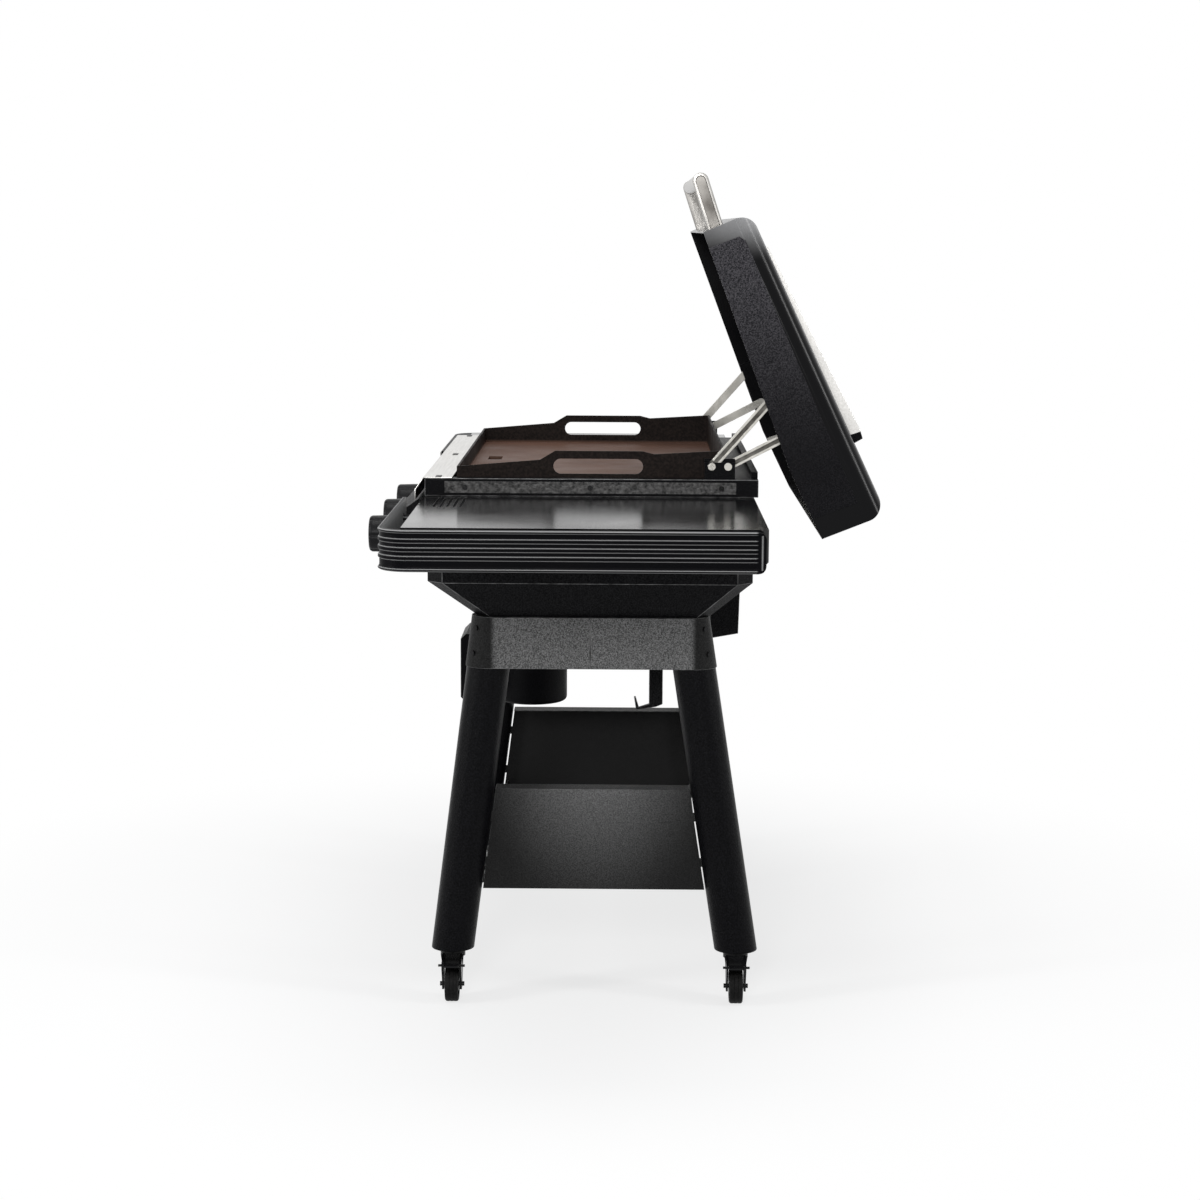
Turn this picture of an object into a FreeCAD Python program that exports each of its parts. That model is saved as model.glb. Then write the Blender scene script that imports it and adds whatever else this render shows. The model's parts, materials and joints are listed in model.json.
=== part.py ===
import FreeCAD, Part
import os
import re
import Sketcher
from FreeCAD import Placement, Rotation, Vector

# Outdoor gas griddle station, lid open. Millimetres, +Z up, floor at zero.
# The cook stands at -Y and +X is the right-hand end, so the knobs face -Y.
# The origin lies on the floor in the middle of the two end frames.

os.makedirs("parts", exist_ok=True)
doc = FreeCAD.newDocument("griddle_station")
sheet = doc.addObject("Spreadsheet::Sheet", "sizes")

# Driving sizes, in millimetres and degrees
SIZES = {
    # legs and end frames
    "leg_x": "=box_half - 59", "leg_dia": 75, "leg_wall": 2,
    "front_foot_y": -247, "rear_foot_y": 255,
    "front_lean": 7.15, "rear_lean": 8.85,
    "foot_bottom": 92, "foot_cap": 38, "cap_spigot": 20,
    "leg_top": 690, "beam_depth": 90, "beam_sheet": 2, "socket_fit": 0.2, "seat_gap": 0.2,
    "crease_width": 1.5, "crease_depth": 1, "crease_y": -5,
    "beam_flange": 60, "cross_flange": 25,
    # end plates and lower shelf
    "plate_bottom": 198.5, "plate_top": 379, "plate_sheet": 1.5,
    "plate_flange": 40, "plate_gap": 2.5, "tab_depth": 16,
    "tab_low": 240, "tab_high": 322, "shelf_hem": 25,
    # casters
    "wheel_dia": 62, "wheel_width": 24, "hub_dia": 24, "rim_dia": 46, "wheel_dish": 2.5,
    "tyre_round": 4, "caster_trail": 24, "wheel_gap": 2, "fork_sheet": 3.5,
    "axle_dia": 8, "axle_fit": 0.15, "axle_reach": 4, "swivel_gap": 0.4,
    "head_dia": 44, "head_plate": 8, "crown_plate": 6, "kingpin_dia": 10, "kingpin_fit": 0.2,
    "rivet_dia": 18, "rivet_head": 4, "stem_dia": 11, "stem_length": 30, "fork_back": 17,
    "fork_front": 22, "brake_pin": 4.4, "brake_out": 18, "brake_up": 38, "pedal_length": 30,
    "pedal_sheet": 3, "pedal_boss": 6.6, "brake_fit": 0.2, "pin_reach": 6, "apron_top": 41,
    "apron_low": 36,
    # firebox, hopper and the frame round the plate
    "box_half": 447, "box_front": -287, "box_rear": 275, "box_corner": 27,
    "box_bottom": 752, "box_sheet": 1.5, "ledge_width": 42,
    "hopper_half": "=box_half - 27", "hopper_front": "=box_front + 85",
    "hopper_rear": "=box_rear - 73", "hopper_corner": 23,
    "frame_half": "=box_half + 1", "frame_front": "=box_front - 2", "frame_rear": "=box_rear + 6",
    "frame_bottom": 903, "frame_top": 933, "frame_sheet": 2, "plate_clear": 6,
    "strip_front": "=frame_front + 34", "strip_rear": "=frame_rear - 38", "strip_depth": 20,
    "strip_sheet": 1.2,
    "screw_dia": 9, "screw_head": 2.2, "vent_depth": 11, "vent_rise": 11, "vent_pitch": 18,
    "vent_slot": 8,
    # cooking plate
    "griddle_half": "=frame_half - 29", "griddle_front": -236, "griddle_rear": 224,
    "griddle_floor": 923, "griddle_sheet": 5, "griddle_wall": 4,
    "front_wall_top": 951, "shoulder_y": -93, "shoulder_top": 963,
    "hump_front": -67, "hump_rear": 83, "hump_top": 978.5,
    "dip_y": 103, "dip_top": 973.5, "rear_wall_top": 980.5,
    "slot_length": 154, "slot_height": 26, "slot_y": 7, "slot_z": 952.2,
    "drain_x": -60, "drain_y": -194, "drain_length": 64, "drain_width": 26,
    "rest_dia": 14,
    # stainless ledge, bumpers and control panel
    "ledge_sheet": 1.6, "lip_y": -306, "lip_top": 913, "lip_bottom": 896,
    "bumper_x": "=frame_half - 18", "bumper_length": 26, "bumper_width": 10, "bumper_rise": 1,
    "panel_half": "=box_half - 32", "panel_front": -352, "panel_top": 893, "panel_brow": 858,
    "panel_bottom": 779, "panel_sheet": 1.5,
    # knobs, valves and burners
    "knob_pitch": 279, "knob_z": 817, "knob_dia": 64, "knob_front": -400.5, "knob_length": 40,
    "knob_round": 5, "bezel_dia": 74, "bezel_sheet": 6, "grip_depth": 2.5, "grip_width": 5,
    "stem_rod": 8, "stem_fit": 0.3, "stem_hole": 14,
    "valve_width": 28, "valve_height": 34, "valve_front": -340, "valve_back": -296,
    "pipe_dia": 20, "pipe_y": -316, "pipe_half": "=panel_half - 85", "inlet_drop": 34, "inlet_dia": 16,
    "burner_z": 868, "burner_tube": 22, "burner_spread": 52, "burner_front": -138,
    "burner_rear": 205, "header_width": 26, "venturi_dia": 18, "igniter_dia": 7,
    "igniter_rise": 26,
    # grease way
    "chute_half": 45, "chute_front": -214, "chute_back": -155, "neck_front": -142,
    "neck_back": -100, "chute_turn": 740, "neck_turn": 700, "chute_bottom": 612,
    "chute_sheet": 1.5, "chute_gap": 2, "throat_fit": 0.3,
    "keg_dia": 134, "keg_y": -123, "keg_bottom": 456, "keg_top": 596, "keg_wall": 1.5,
    "keg_rim": 160, "rim_sheet": 3, "keg_round": 9,
    "rail_gap": 2, "rail_sheet": 3, "rail_lip": 14, "rail_rear": -34,
    "cover_front": -257, "cover_sheet": 20, "cover_half": 68, "cover_bottom": 462,
    "cover_top": 594, "cover_chamfer": 10, "neck_half": 26, "neck_sheet": 4,
    # side shelves and rails
    "shelf_inner": "=box_half + 3.5", "shelf_outer": "=shelf_inner + 458.9",
    "shelf_front": "=frame_front - 1", "shelf_rear": "=box_rear - 1",
    "shelf_top": 902, "shelf_skirt": 62, "shelf_sheet": 2, "shelf_chamfer": 12,
    "vent_start": "=shelf_inner + 14.5", "vent_end": "=shelf_inner + 161.5", "vent_wide": 5,
    "vent_first": -264, "vent_step": 11,
    "rail_outer": "=shelf_outer + 20.6", "rail_front": "=shelf_front - 35",
    "rail_end": "=shelf_rear - 4.5", "rail_low": 836,
    "rail_high": 901, "rail_thick": 5, "rail_corner": 48, "rail_end_round": 13,
    "rib_height": 6.5, "rib_pitch": 13.3, "rib_proud": 1.6,
    "rib_mid": "=(rail_low + rail_high) / 2 + 2", "rib_rear": 254,
    "rib_front": -268, "standoff_dia": 16,
    "arm_set": 110, "arm_depth": 40, "arm_width": 26, "prop_sheet": 3,
    # tank hook and rear bracket
    "hook_x": 200, "hook_y": 112, "hook_width": 25, "hook_sheet": 5, "hook_bottom": 492,
    "hook_reach": 40, "hook_lip": 20,
    "bracket_x": 0, "bracket_half": 40, "bracket_front": 218, "bracket_back": 268,
    "bracket_bottom": 598, "bracket_sheet": 2,
    # lid linkage: pivots of the base, lengths and the angles of the open pose
    "pivot_x": "=lid_half - 14.5", "front_pivot_y": 201, "rear_pivot_y": 229, "pivot_z": 955,
    "arm_sheet": 3, "rear_gap": 1.3, "ridge_rise": 0.8, "ridge_width": 4,
    "front_arm": 155.7, "rear_arm": 114, "front_open": 48.73, "rear_open": 27.4,
    "lid_open": 69.26, "arm_broad": 15, "pin_dia": 8, "pin_fit": 0.15,
    "bolt_head": 13, "bolt_rise": 3, "arm_gap": 0.5,
    "hinge_half": 26, "hinge_top": 968, "hinge_sheet": 3.5, "cheek_sheet": 2,
    "cheek_gap": 1.2, "cheek_drop": 6, "bolt_cap": 2,
    "lid_pivot_s": 304, "lid_pivot_up": 15, "lid_slot_s": 375.2, "lid_slot_up": 22.2,
    "lid_slot_width": 11.6, "lid_slot_length": 22,
    # lid, drawn closed: s runs from its front rim to the rear, up is its height
    "lid_half": "=frame_half", "lid_length": 559, "lid_front_up": 91, "lid_top_front": 48,
    "lid_top_rear": 508, "lid_rear_up": 127, "lid_kink": 432, "lid_kink_up": 11.7,
    "lid_sheet": 2, "lid_roll": 30, "lid_roll_inner": 28, "front_bulge": 3,
    "side_front": 28, "side_rear": 522, "side_low": 0.3, "side_front_up": 62, "side_rear_up": 90,
    "side_sheet": 1.2,
    "top_front": 62, "top_rear": 432, "top_half": "=lid_half - 76", "top_rise_front": 5,
    "top_rise_rear": 21,
    "top_cap": 16, "top_seat": 0.1, "top_sheet": 1.2, "stop_s": 458, "stop_width": 18,
    "stop_sheet": 1.6,
    "handle_half": "=lid_half - 76", "handle_s": -82, "handle_up": 28, "handle_dia": 28,
    "handle_sheet": 16, "handle_foot_low": 8, "handle_foot_high": 36,
}

# A size in quotes is worked out from others, so that pieces that meet stay together
for row, alias in enumerate(SIZES, start=1):
    sheet.set("A%d" % row, alias)
    sheet.setAlias("B%d" % row, alias)
for row, amount in enumerate(SIZES.values(), start=1):
    sheet.set("B%d" % row, str(amount))
doc.recompute()

nodes = []


def bound(text):
    """An expression of the sheet: each word that is an alias gets the sheet's name before it."""
    def word(match):
        return "sizes." + match.group(0) if match.group(0) in SIZES else match.group(0)
    return re.sub(r"[a-z_]+[a-z_0-9]*", word, str(text))


def bind(item, path, text):
    item.setExpression(path, bound(text))


def number(text):
    return float(sheet.evalExpression(bound(text)))


def minus(text):
    return "-(%s)" % text


def node(item, label):
    item.Label = label
    nodes.append(item)
    return item


def put(item, at, axis=None, turn="0"):
    """Place an item at three expressions, turned about an axis by a fourth."""
    item.Placement = Placement(Vector(0, 0, 0), Rotation(axis or Vector(0, 0, 1), 1))
    bind(item, "Placement.Rotation.Angle", turn)
    for letter, text in zip("xyz", at):
        bind(item, "Placement.Base." + letter, text)
    return item


def slab(name, x_span, y_span, z_span):
    """A box between low and high values on each axis."""
    box = doc.addObject("Part::Box", name)
    for side, (low, high) in zip(("Length", "Width", "Height"), (x_span, y_span, z_span)):
        bind(box, side, "(%s) - (%s)" % (high, low))
    return put(box, (x_span[0], y_span[0], z_span[0]))


def rod(name, along, start, length, dia, at):
    """A cylinder along X, Y or Z from start, with its axis at the two other coordinates."""
    cylinder = doc.addObject("Part::Cylinder", name)
    bind(cylinder, "Radius", "(%s) / 2" % dia)
    bind(cylinder, "Height", length)
    if along == "x":
        return put(cylinder, (start, at[0], at[1]), Vector(0, 1, 0), "90")
    if along == "y":
        return put(cylinder, (at[0], start, at[1]), Vector(1, 0, 0), "-90")
    return put(cylinder, (at[0], at[1], start))


def cut(name, base, *tools):
    for count, tool in enumerate(tools):
        result = doc.addObject("Part::Cut", "%s_%d" % (name, count))
        result.Base = base
        result.Tool = tool
        base = result
    return base


def join(name, *pieces):
    result = doc.addObject("Part::MultiFuse", name)
    result.Shapes = list(pieces)
    result.Refine = True
    return result


def common(name, *pieces):
    result = doc.addObject("Part::MultiCommon", name)
    result.Shapes = list(pieces)
    return result


def group(name, *pieces):
    result = doc.addObject("Part::Compound", name)
    result.Links = list(pieces)
    return result


def origin_plane(body, role):
    return next(item for item in body.Origin.OriginFeatures if item.Role == role)


def sketch(body, plane, points, offset):
    """A closed outline of straight lines whose corners are held by expressions."""
    outline = body.newObject("Sketcher::SketchObject", body.Name + "_outline")
    outline.AttachmentSupport = [(origin_plane(body, plane + "_Plane"), "")]
    outline.MapMode = "FlatFace"
    bind(outline, "AttachmentOffset.Base.z", offset)
    corners = [Vector(number(a), number(b), 0) for a, b in points]
    last = len(corners)
    for place in range(last):
        outline.addGeometry(Part.LineSegment(corners[place], corners[(place + 1) % last]), False)
    for place in range(last):
        outline.addConstraint(Sketcher.Constraint("Coincident", place, 2, (place + 1) % last, 1))
    for place, (across, up) in enumerate(points):
        for kind, text, value in (("DistanceX", across, corners[place].x),
                                  ("DistanceY", up, corners[place].y)):
            held = Sketcher.Constraint(kind, -1, 1, place, 1, value)
            index = outline.addConstraint(held)
            bind(outline, "Constraints[%d]" % index, text)
    return outline


def prism(name, plane, points, low, high):
    """A PartDesign body: an outline on XY, YZ or XZ, padded from low to high along the third axis."""
    body = doc.addObject("PartDesign::Body", name)
    start = minus(high) if plane == "XZ" else low
    outline = sketch(body, plane, points, start)
    pad = body.newObject("PartDesign::Pad", name + "_pad")
    pad.Profile = outline
    bind(pad, "Length", "(%s) - (%s)" % (high, low))
    body.Tip = pad
    return body


def turned(name, points, at, axis=None, turn="0"):
    """A PartDesign body turned about its own Z axis from an outline of radius and height."""
    body = doc.addObject("PartDesign::Body", name)
    outline = sketch(body, "XZ", points, "0")
    spin = body.newObject("PartDesign::Revolution", name + "_turn")
    spin.Profile = outline
    spin.ReferenceAxis = (outline, ["V_Axis"])
    spin.Angle = 360
    body.Tip = spin
    return put(body, at, axis, turn)


def eased(body, kind, size, choose):
    """Round or bevel the chosen edges of a body's tip."""
    doc.recompute()
    tip = body.Tip
    edges = ["Edge%d" % (place + 1) for place, edge in enumerate(tip.Shape.Edges) if choose(edge)]
    if not edges:
        raise ValueError("no edges to ease on " + body.Name)
    feature = body.newObject("PartDesign::" + kind, body.Name + "_" + kind.lower())
    feature.Base = (tip, edges)
    bind(feature, "Radius" if kind == "Fillet" else "Size", size)
    body.Tip = feature
    return body


def runs_along(edge, direction):
    if edge.Curve.TypeId != "Part::GeomLine":
        return False
    return abs(edge.Curve.Direction.dot(direction)) > 0.999


def mirror_span(side, low, high):
    """A span on X for the right end, or its mirror image for the left."""
    if side > 0:
        return (low, high)
    return (minus(high), minus(low))


def signed(side, text):
    return text if side > 0 else minus(text)


def octagon(half, front, rear, corner):
    """A plan outline with cut corners."""
    return [("-(%s) + %s" % (half, corner), front), ("%s - %s" % (half, corner), front),
            (half, "%s + %s" % (front, corner)), (half, "%s - %s" % (rear, corner)),
            ("%s - %s" % (half, corner), rear), ("-(%s) + %s" % (half, corner), rear),
            (minus(half), "%s - %s" % (rear, corner)), (minus(half), "%s + %s" % (front, corner))]


SIDES = {"right": 1, "left": -1}
ENDS = {"front": ("front_foot_y", "front_lean", 1), "rear": ("rear_foot_y", "rear_lean", -1)}


def leg_y(end, height):
    """Where a leg's axis stands at a height."""
    foot, lean, way = ENDS[end]
    return "(%s + %d * (%s - foot_bottom) * tan(%s))" % (foot, way, height, lean)


def leg_rod(name, side, end, dia):
    """A leaning cylinder on a leg's axis, long enough to be trimmed level at both ends."""
    foot, lean, way = ENDS[end]
    cylinder = doc.addObject("Part::Cylinder", name)
    bind(cylinder, "Radius", "(%s) / 2" % dia)
    bind(cylinder, "Height", "1.2 * leg_top")
    at = (signed(side, "leg_x"), leg_y(end, "0"), "0")
    return put(cylinder, at, Vector(1, 0, 0), "%d * %s" % (-way, lean))


def level(name, low, high):
    """A slab that trims legs and sockets level between two heights."""
    wide = "2 * leg_x"
    return slab(name, (minus(wide), wide), (minus(wide), wide), (low, high))


# Legs: round tubes that lean in towards the top
def leg(side_name, end):
    side = SIDES[side_name]
    name = "leg_%s_%s" % (end, side_name)
    outer = leg_rod(name + "_outer", side, end, "leg_dia")
    bore = leg_rod(name + "_bore", side, end, "leg_dia - 2 * leg_wall")
    trim = level(name + "_trim", "foot_bottom + foot_cap", "leg_top - frame_sheet")
    node(common(name + "_tube", cut(name + "_wall", outer, bore), trim), name)


for side_name in SIDES:
    for end in ENDS:
        leg(side_name, end)


# Foot caps close the legs and hold the caster stems
def foot_cap(side_name, end):
    side = SIDES[side_name]
    name = "cap_%s_%s" % (end, side_name)
    seam = "foot_bottom + foot_cap"
    skin = common(name + "_skin", leg_rod(name + "_rod", side, end, "leg_dia"),
                  level(name + "_level", "foot_bottom", seam))
    plug = leg_rod(name + "_plug", side, end, "leg_dia - 2 * leg_wall - 2 * socket_fit")
    spigot = common(name + "_spigot", plug, level(name + "_top", seam, seam + " + cap_spigot"))
    foot = ENDS[end][0]
    hole = rod(name + "_hole", "z", "foot_bottom - 1", "stem_length + 2",
               "stem_dia + 2 * kingpin_fit", (signed(side, "leg_x"), foot))
    return cut(name, join(name + "_whole", skin, spigot), hole)


node(group("caps", *[foot_cap(side_name, end) for side_name in SIDES for end in ENDS]),
     "leg_foot_caps")


# Caster stems: a pin up into the cap, a round head plate and a kingpin with a riveted end
def caster_heights():
    head_low = "foot_bottom - head_plate"
    crown_top = head_low + " - swivel_gap"
    crown_low = crown_top + " - crown_plate"
    return head_low, crown_top, crown_low


def caster_stem(side_name, end):
    side = SIDES[side_name]
    name = "stem_%s_%s" % (end, side_name)
    head_low, crown_top, crown_low = caster_heights()
    rivet_top = crown_low + " - swivel_gap"
    at = (signed(side, "leg_x"), ENDS[end][0], "0")
    half = "head_dia / 2"
    points = [("0", rivet_top + " - rivet_head"), ("rivet_dia / 2", rivet_top + " - rivet_head"),
              ("rivet_dia / 2", rivet_top), ("kingpin_dia / 2", rivet_top),
              ("kingpin_dia / 2", head_low), (half, head_low), (half, "foot_bottom"),
              ("stem_dia / 2", "foot_bottom"), ("stem_dia / 2", "foot_bottom + stem_length"),
              ("0", "foot_bottom + stem_length")]
    return turned(name, points, at)


node(group("stems", *[caster_stem(side_name, end) for side_name in SIDES for end in ENDS]),
     "caster_stems")


# Caster forks turn on the kingpins; the axle is fixed in its two cheeks
def caster_fork(side_name, end):
    side = SIDES[side_name]
    foot = ENDS[end][0]
    name = "caster_fork_%s_%s" % (end, side_name)
    head_low, crown_top, crown_low = caster_heights()
    wheel_z = "wheel_dia / 2"
    pin_x = "caster_trail + brake_out"
    pin_z = "wheel_dia / 2 + brake_up"
    inner = "wheel_width / 2 + wheel_gap"
    outer = inner + " + fork_sheet"
    cheek = [(minus("fork_back"), crown_top), ("fork_front", crown_top),
             (pin_x + " + 6", pin_z + " + 5"), (pin_x + " + 6", pin_z + " - 6"),
             ("caster_trail + 9", wheel_z + " + 6"), ("caster_trail + 9", wheel_z + " - 8"),
             ("caster_trail - 9", wheel_z + " - 8"), (minus("fork_back"), crown_low + " - 8")]
    points = [("leg_x * %d + %d * (%s)" % (side, side, x), z) for x, z in cheek]
    near = prism(name + "_near", "XZ", points, "%s - (%s)" % (foot, outer),
                 "%s - (%s)" % (foot, inner))
    far = prism(name + "_far", "XZ", points, "%s + %s" % (foot, inner),
                "%s + %s" % (foot, outer))
    low, high = mirror_span(side, "leg_x - fork_back", "leg_x + fork_front")
    apron_x = mirror_span(side, "leg_x + fork_front - 3", "leg_x + fork_front")
    apron = prism(name + "_apron", "YZ",
                  [("%s - apron_top / 2" % foot, crown_top), ("%s + apron_top / 2" % foot, crown_top),
                   ("%s + apron_low / 2" % foot, "wheel_dia + 2 * wheel_gap"),
                   ("%s - apron_low / 2" % foot, "wheel_dia + 2 * wheel_gap")], *apron_x)
    crown = slab(name + "_crown", (low, high),
                 ("%s - (%s)" % (foot, outer), "%s + %s" % (foot, outer)), (crown_low, crown_top))
    leg_at = (signed(side, "leg_x"), foot)
    disc = rod(name + "_disc", "z", crown_low, "crown_plate", "head_dia", leg_at)
    bore = rod(name + "_bore", "z", crown_low + " - 1", "crown_plate + 2",
               "kingpin_dia + 2 * kingpin_fit", leg_at)
    axle_at = (signed(side, "leg_x + caster_trail"), wheel_z)
    reach = outer + " + axle_reach"
    axle = rod(name + "_axle", "y", "%s - (%s)" % (foot, reach), "2 * (%s)" % reach,
               "axle_dia", axle_at)
    axle_hole = rod(name + "_axle_hole", "y", "%s - (%s)" % (foot, reach), "2 * (%s)" % reach,
                    "axle_dia", axle_at)
    pin_at = (signed(side, "leg_x + " + pin_x), pin_z)
    pin_hole = rod(name + "_pin_hole", "y", "%s - (%s)" % (foot, reach), "2 * (%s)" % reach,
                   "brake_pin + 2 * brake_fit", pin_at)
    frame = join(name + "_frame", near, far, crown, disc, apron)
    node(group(name + "_pieces", cut(name + "_cut", frame, bore, axle_hole, pin_hole), axle), name)


# Caster wheels: a dished hub and a rounded tyre, turned in one
def caster_wheel(side_name, end):
    side = SIDES[side_name]
    name = "caster_wheel_%s_%s" % (end, side_name)
    half = "wheel_width / 2"
    dish = half + " - wheel_dish"
    bore = "axle_dia / 2 + axle_fit"
    points = [(bore, minus(half)), ("hub_dia / 2", minus(half)), ("hub_dia / 2", minus(dish)),
              ("rim_dia / 2", minus(dish)), ("rim_dia / 2", minus(half)),
              ("wheel_dia / 2", minus(half)), ("wheel_dia / 2", half), ("rim_dia / 2", half),
              ("rim_dia / 2", dish), ("hub_dia / 2", dish), ("hub_dia / 2", half), (bore, half)]
    at = (signed(side, "leg_x + caster_trail"), ENDS[end][0], "wheel_dia / 2")
    wheel = turned(name + "_body", points, at, Vector(1, 0, 0), "-90")
    rim = number("wheel_dia / 2")
    eased(wheel, "Fillet", "tyre_round",
          lambda edge: edge.Curve.TypeId == "Part::GeomCircle" and edge.Curve.Radius > rim - 0.01)
    node(wheel, name)


# Brake pedals: a foot plate above the wheel with its pin through both cheeks
def caster_brake(side_name, end):
    side = SIDES[side_name]
    foot = ENDS[end][0]
    name = "caster_brake_%s_%s" % (end, side_name)
    pin_x = "caster_trail + brake_out"
    pin_z = "wheel_dia / 2 + brake_up"
    reach = "wheel_width / 2 + wheel_gap + fork_sheet + pin_reach"
    pin_at = (signed(side, "leg_x + " + pin_x), pin_z)
    pin = rod(name + "_pin", "y", "%s - (%s)" % (foot, reach), "2 * (%s)" % reach,
              "brake_pin", pin_at)
    inner = "wheel_width / 2 + wheel_gap - 0.5"
    boss = rod(name + "_boss", "y", "%s - (%s)" % (foot, inner), "2 * (%s)" % inner,
               "pedal_boss", pin_at)
    low_z = pin_z + " + pedal_boss / 2 - pedal_sheet"
    outline = [(pin_x + " - pedal_boss / 2", low_z + " + 1"), (pin_x, low_z),
               (pin_x + " + pedal_length", low_z + " + 4"),
               (pin_x + " + pedal_length", low_z + " + 4 + pedal_sheet"),
               (pin_x, low_z + " + pedal_sheet"),
               (pin_x + " - pedal_boss / 2", low_z + " + pedal_sheet")]
    points = [("leg_x * %d + %d * (%s)" % (side, side, x), z) for x, z in outline]
    plate = prism(name + "_plate", "XZ", points, "%s - (%s)" % (foot, inner),
                  "%s + %s" % (foot, inner))
    node(join(name + "_whole", pin, boss, plate), name)


for side_name in SIDES:
    for end in ENDS:
        caster_fork(side_name, end)
        caster_wheel(side_name, end)
        caster_brake(side_name, end)


# End beams: a flat plate between two round sockets that the leg tops stand in
def end_beam(side_name):
    side = SIDES[side_name]
    name = "end_beam_" + side_name
    low = "leg_top - beam_depth"
    sockets = []
    bores = []
    for end in ENDS:
        ring = leg_rod("%s_%s_ring" % (name, end), side, end,
                       "leg_dia + 2 * socket_fit + 2 * beam_sheet")
        trim = level("%s_%s_level" % (name, end), low, "leg_top")
        sockets.append(common("%s_%s_socket" % (name, end), ring, trim))
        bore = leg_rod("%s_%s_bore" % (name, end), side, end, "leg_dia + 2 * socket_fit")
        well = level("%s_%s_well" % (name, end), low + " - 1", "leg_top - frame_sheet")
        bores.append(common("%s_%s_hollow" % (name, end), bore, well))
    face = "leg_x + leg_dia / 2 + socket_fit"
    web = [(leg_y("front", low), low), (leg_y("rear", low), low),
           (leg_y("rear", "leg_top"), "leg_top"), (leg_y("front", "leg_top"), "leg_top")]
    low_x, high_x = mirror_span(side, face, face + " + beam_sheet")
    plate = prism(name + "_web", "YZ", web, low_x, high_x)
    low_x, high_x = mirror_span(side, face + " - beam_flange", face)
    flange = slab(name + "_flange", (low_x, high_x),
                  (leg_y("front", "leg_top"), leg_y("rear", "leg_top")),
                  ("leg_top - frame_sheet", "leg_top"))
    low_x, high_x = mirror_span(side, face + " + beam_sheet - crease_depth",
                                face + " + beam_sheet + 1")
    crease = slab(name + "_crease", (low_x, high_x),
                  ("crease_y - crease_width / 2", "crease_y + crease_width / 2"),
                  (low + " - 1", "leg_top + 1"))
    whole = join(name + "_whole", plate, flange, *sockets)
    node(cut(name + "_cut", whole, crease, *bores), name)


for side_name in SIDES:
    end_beam(side_name)


# Cross beams tie the two end frames together at the front and the rear
def cross_beam(end, way):
    name = "cross_beam_" + end
    low = "leg_top - beam_depth"
    mid = leg_y(end, "leg_top")
    web_span = ("%s - beam_sheet / 2" % mid, "%s + beam_sheet / 2" % mid)
    long_span = (minus("leg_x"), "leg_x")
    web = slab(name + "_web", long_span, web_span, (low, "leg_top"))
    flange_span = sorted_span(mid, way, "cross_flange")
    lower = slab(name + "_lower", long_span, flange_span, (low, low + " + beam_sheet"))
    upper = slab(name + "_upper", long_span, flange_span, ("leg_top - beam_sheet", "leg_top"))
    whole = join(name + "_whole", web, lower, upper)
    tools = [leg_rod("%s_%s_room" % (name, side_name), SIDES[side_name], end,
                     "leg_dia + 2 * socket_fit + 2 * beam_sheet + 2 * seat_gap")
             for side_name in SIDES]
    ends = slab(name + "_ends", (minus("leg_x - leg_dia / 2"), "leg_x - leg_dia / 2"),
                (minus("leg_x"), "leg_x"), (low + " - 1", "leg_top + 1"))
    return common(name, cut(name + "_cut", whole, *tools), ends)


def sorted_span(start, way, size):
    """A span from a start that runs by a size towards +Y or -Y."""
    if way > 0:
        return (start, "%s + (%s)" % (start, size))
    return ("%s - (%s)" % (start, size), start)


node(group("cross_beam_pair", cross_beam("front", 1), cross_beam("rear", -1)), "cross_beams")


# End plates: flanged trays between the legs, held by two tabs on each edge
def end_plate(side_name):
    side = SIDES[side_name]
    name = "end_plate_" + side_name
    reach = "leg_dia / 2 + plate_gap"
    edge = {"front": "%s + " + reach, "rear": "%s - (" + reach + ")"}

    def corner(end, height):
        return (edge[end] % leg_y(end, height), height)

    outline = [corner("front", "plate_bottom"), corner("rear", "plate_bottom"),
               corner("rear", "plate_top"), corner("front", "plate_top")]
    low_x, high_x = mirror_span(side, "leg_x - plate_flange", "leg_x")
    tray = prism(name + "_tray", "YZ", outline, low_x, high_x)
    low_x, high_x = mirror_span(side, "leg_x - plate_flange - 1", "leg_x - plate_sheet")
    room = slab(name + "_room", (low_x, high_x), (minus("leg_x"), "leg_x"),
                ("plate_bottom + plate_sheet", "plate_top - plate_sheet"))
    pieces = [cut(name + "_open", tray, room)]
    low_x, high_x = mirror_span(side, "leg_x - plate_sheet", "leg_x")
    for end, way in (("front", -1), ("rear", 1)):
        for place, height in enumerate(("tab_low", "tab_high")):
            inner = edge[end] % leg_y(end, height)
            tab = slab("%s_%s_tab%d" % (name, end, place), (low_x, high_x),
                       sorted_span("%s - %d" % (inner, way * 4), way, "plate_gap + 8"),
                       (height, height + " + tab_depth"))
            room = leg_rod("%s_%s_leg%d" % (name, end, place), side, end, "leg_dia")
            pieces.append(cut("%s_%s_fit%d" % (name, end, place), tab, room))
    node(join(name + "_whole", *pieces), name)


for side_name in SIDES:
    end_plate(side_name)


# Lower shelf lies on the bottom flanges of the end plates
def lower_shelf():
    base = "plate_bottom + plate_sheet"
    half = "leg_x - plate_sheet"
    front = "%s + leg_dia / 2 + 4 * plate_gap" % leg_y("front", "plate_bottom")
    rear = "%s - leg_dia / 2 - 4 * plate_gap" % leg_y("rear", "plate_bottom")
    floor = slab("shelf_floor", (minus(half), half), (front, rear),
                 (base, base + " + plate_sheet"))
    high = base + " + shelf_hem"
    front_hem = slab("shelf_front_hem", (minus(half), half),
                     (front, front + " + plate_sheet"), (base, high))
    rear_hem = slab("shelf_rear_hem", (minus(half), half),
                    (rear + " - plate_sheet", rear), (base, high))
    node(join("shelf_whole", floor, front_hem, rear_hem), "lower_shelf")


lower_shelf()


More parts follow.
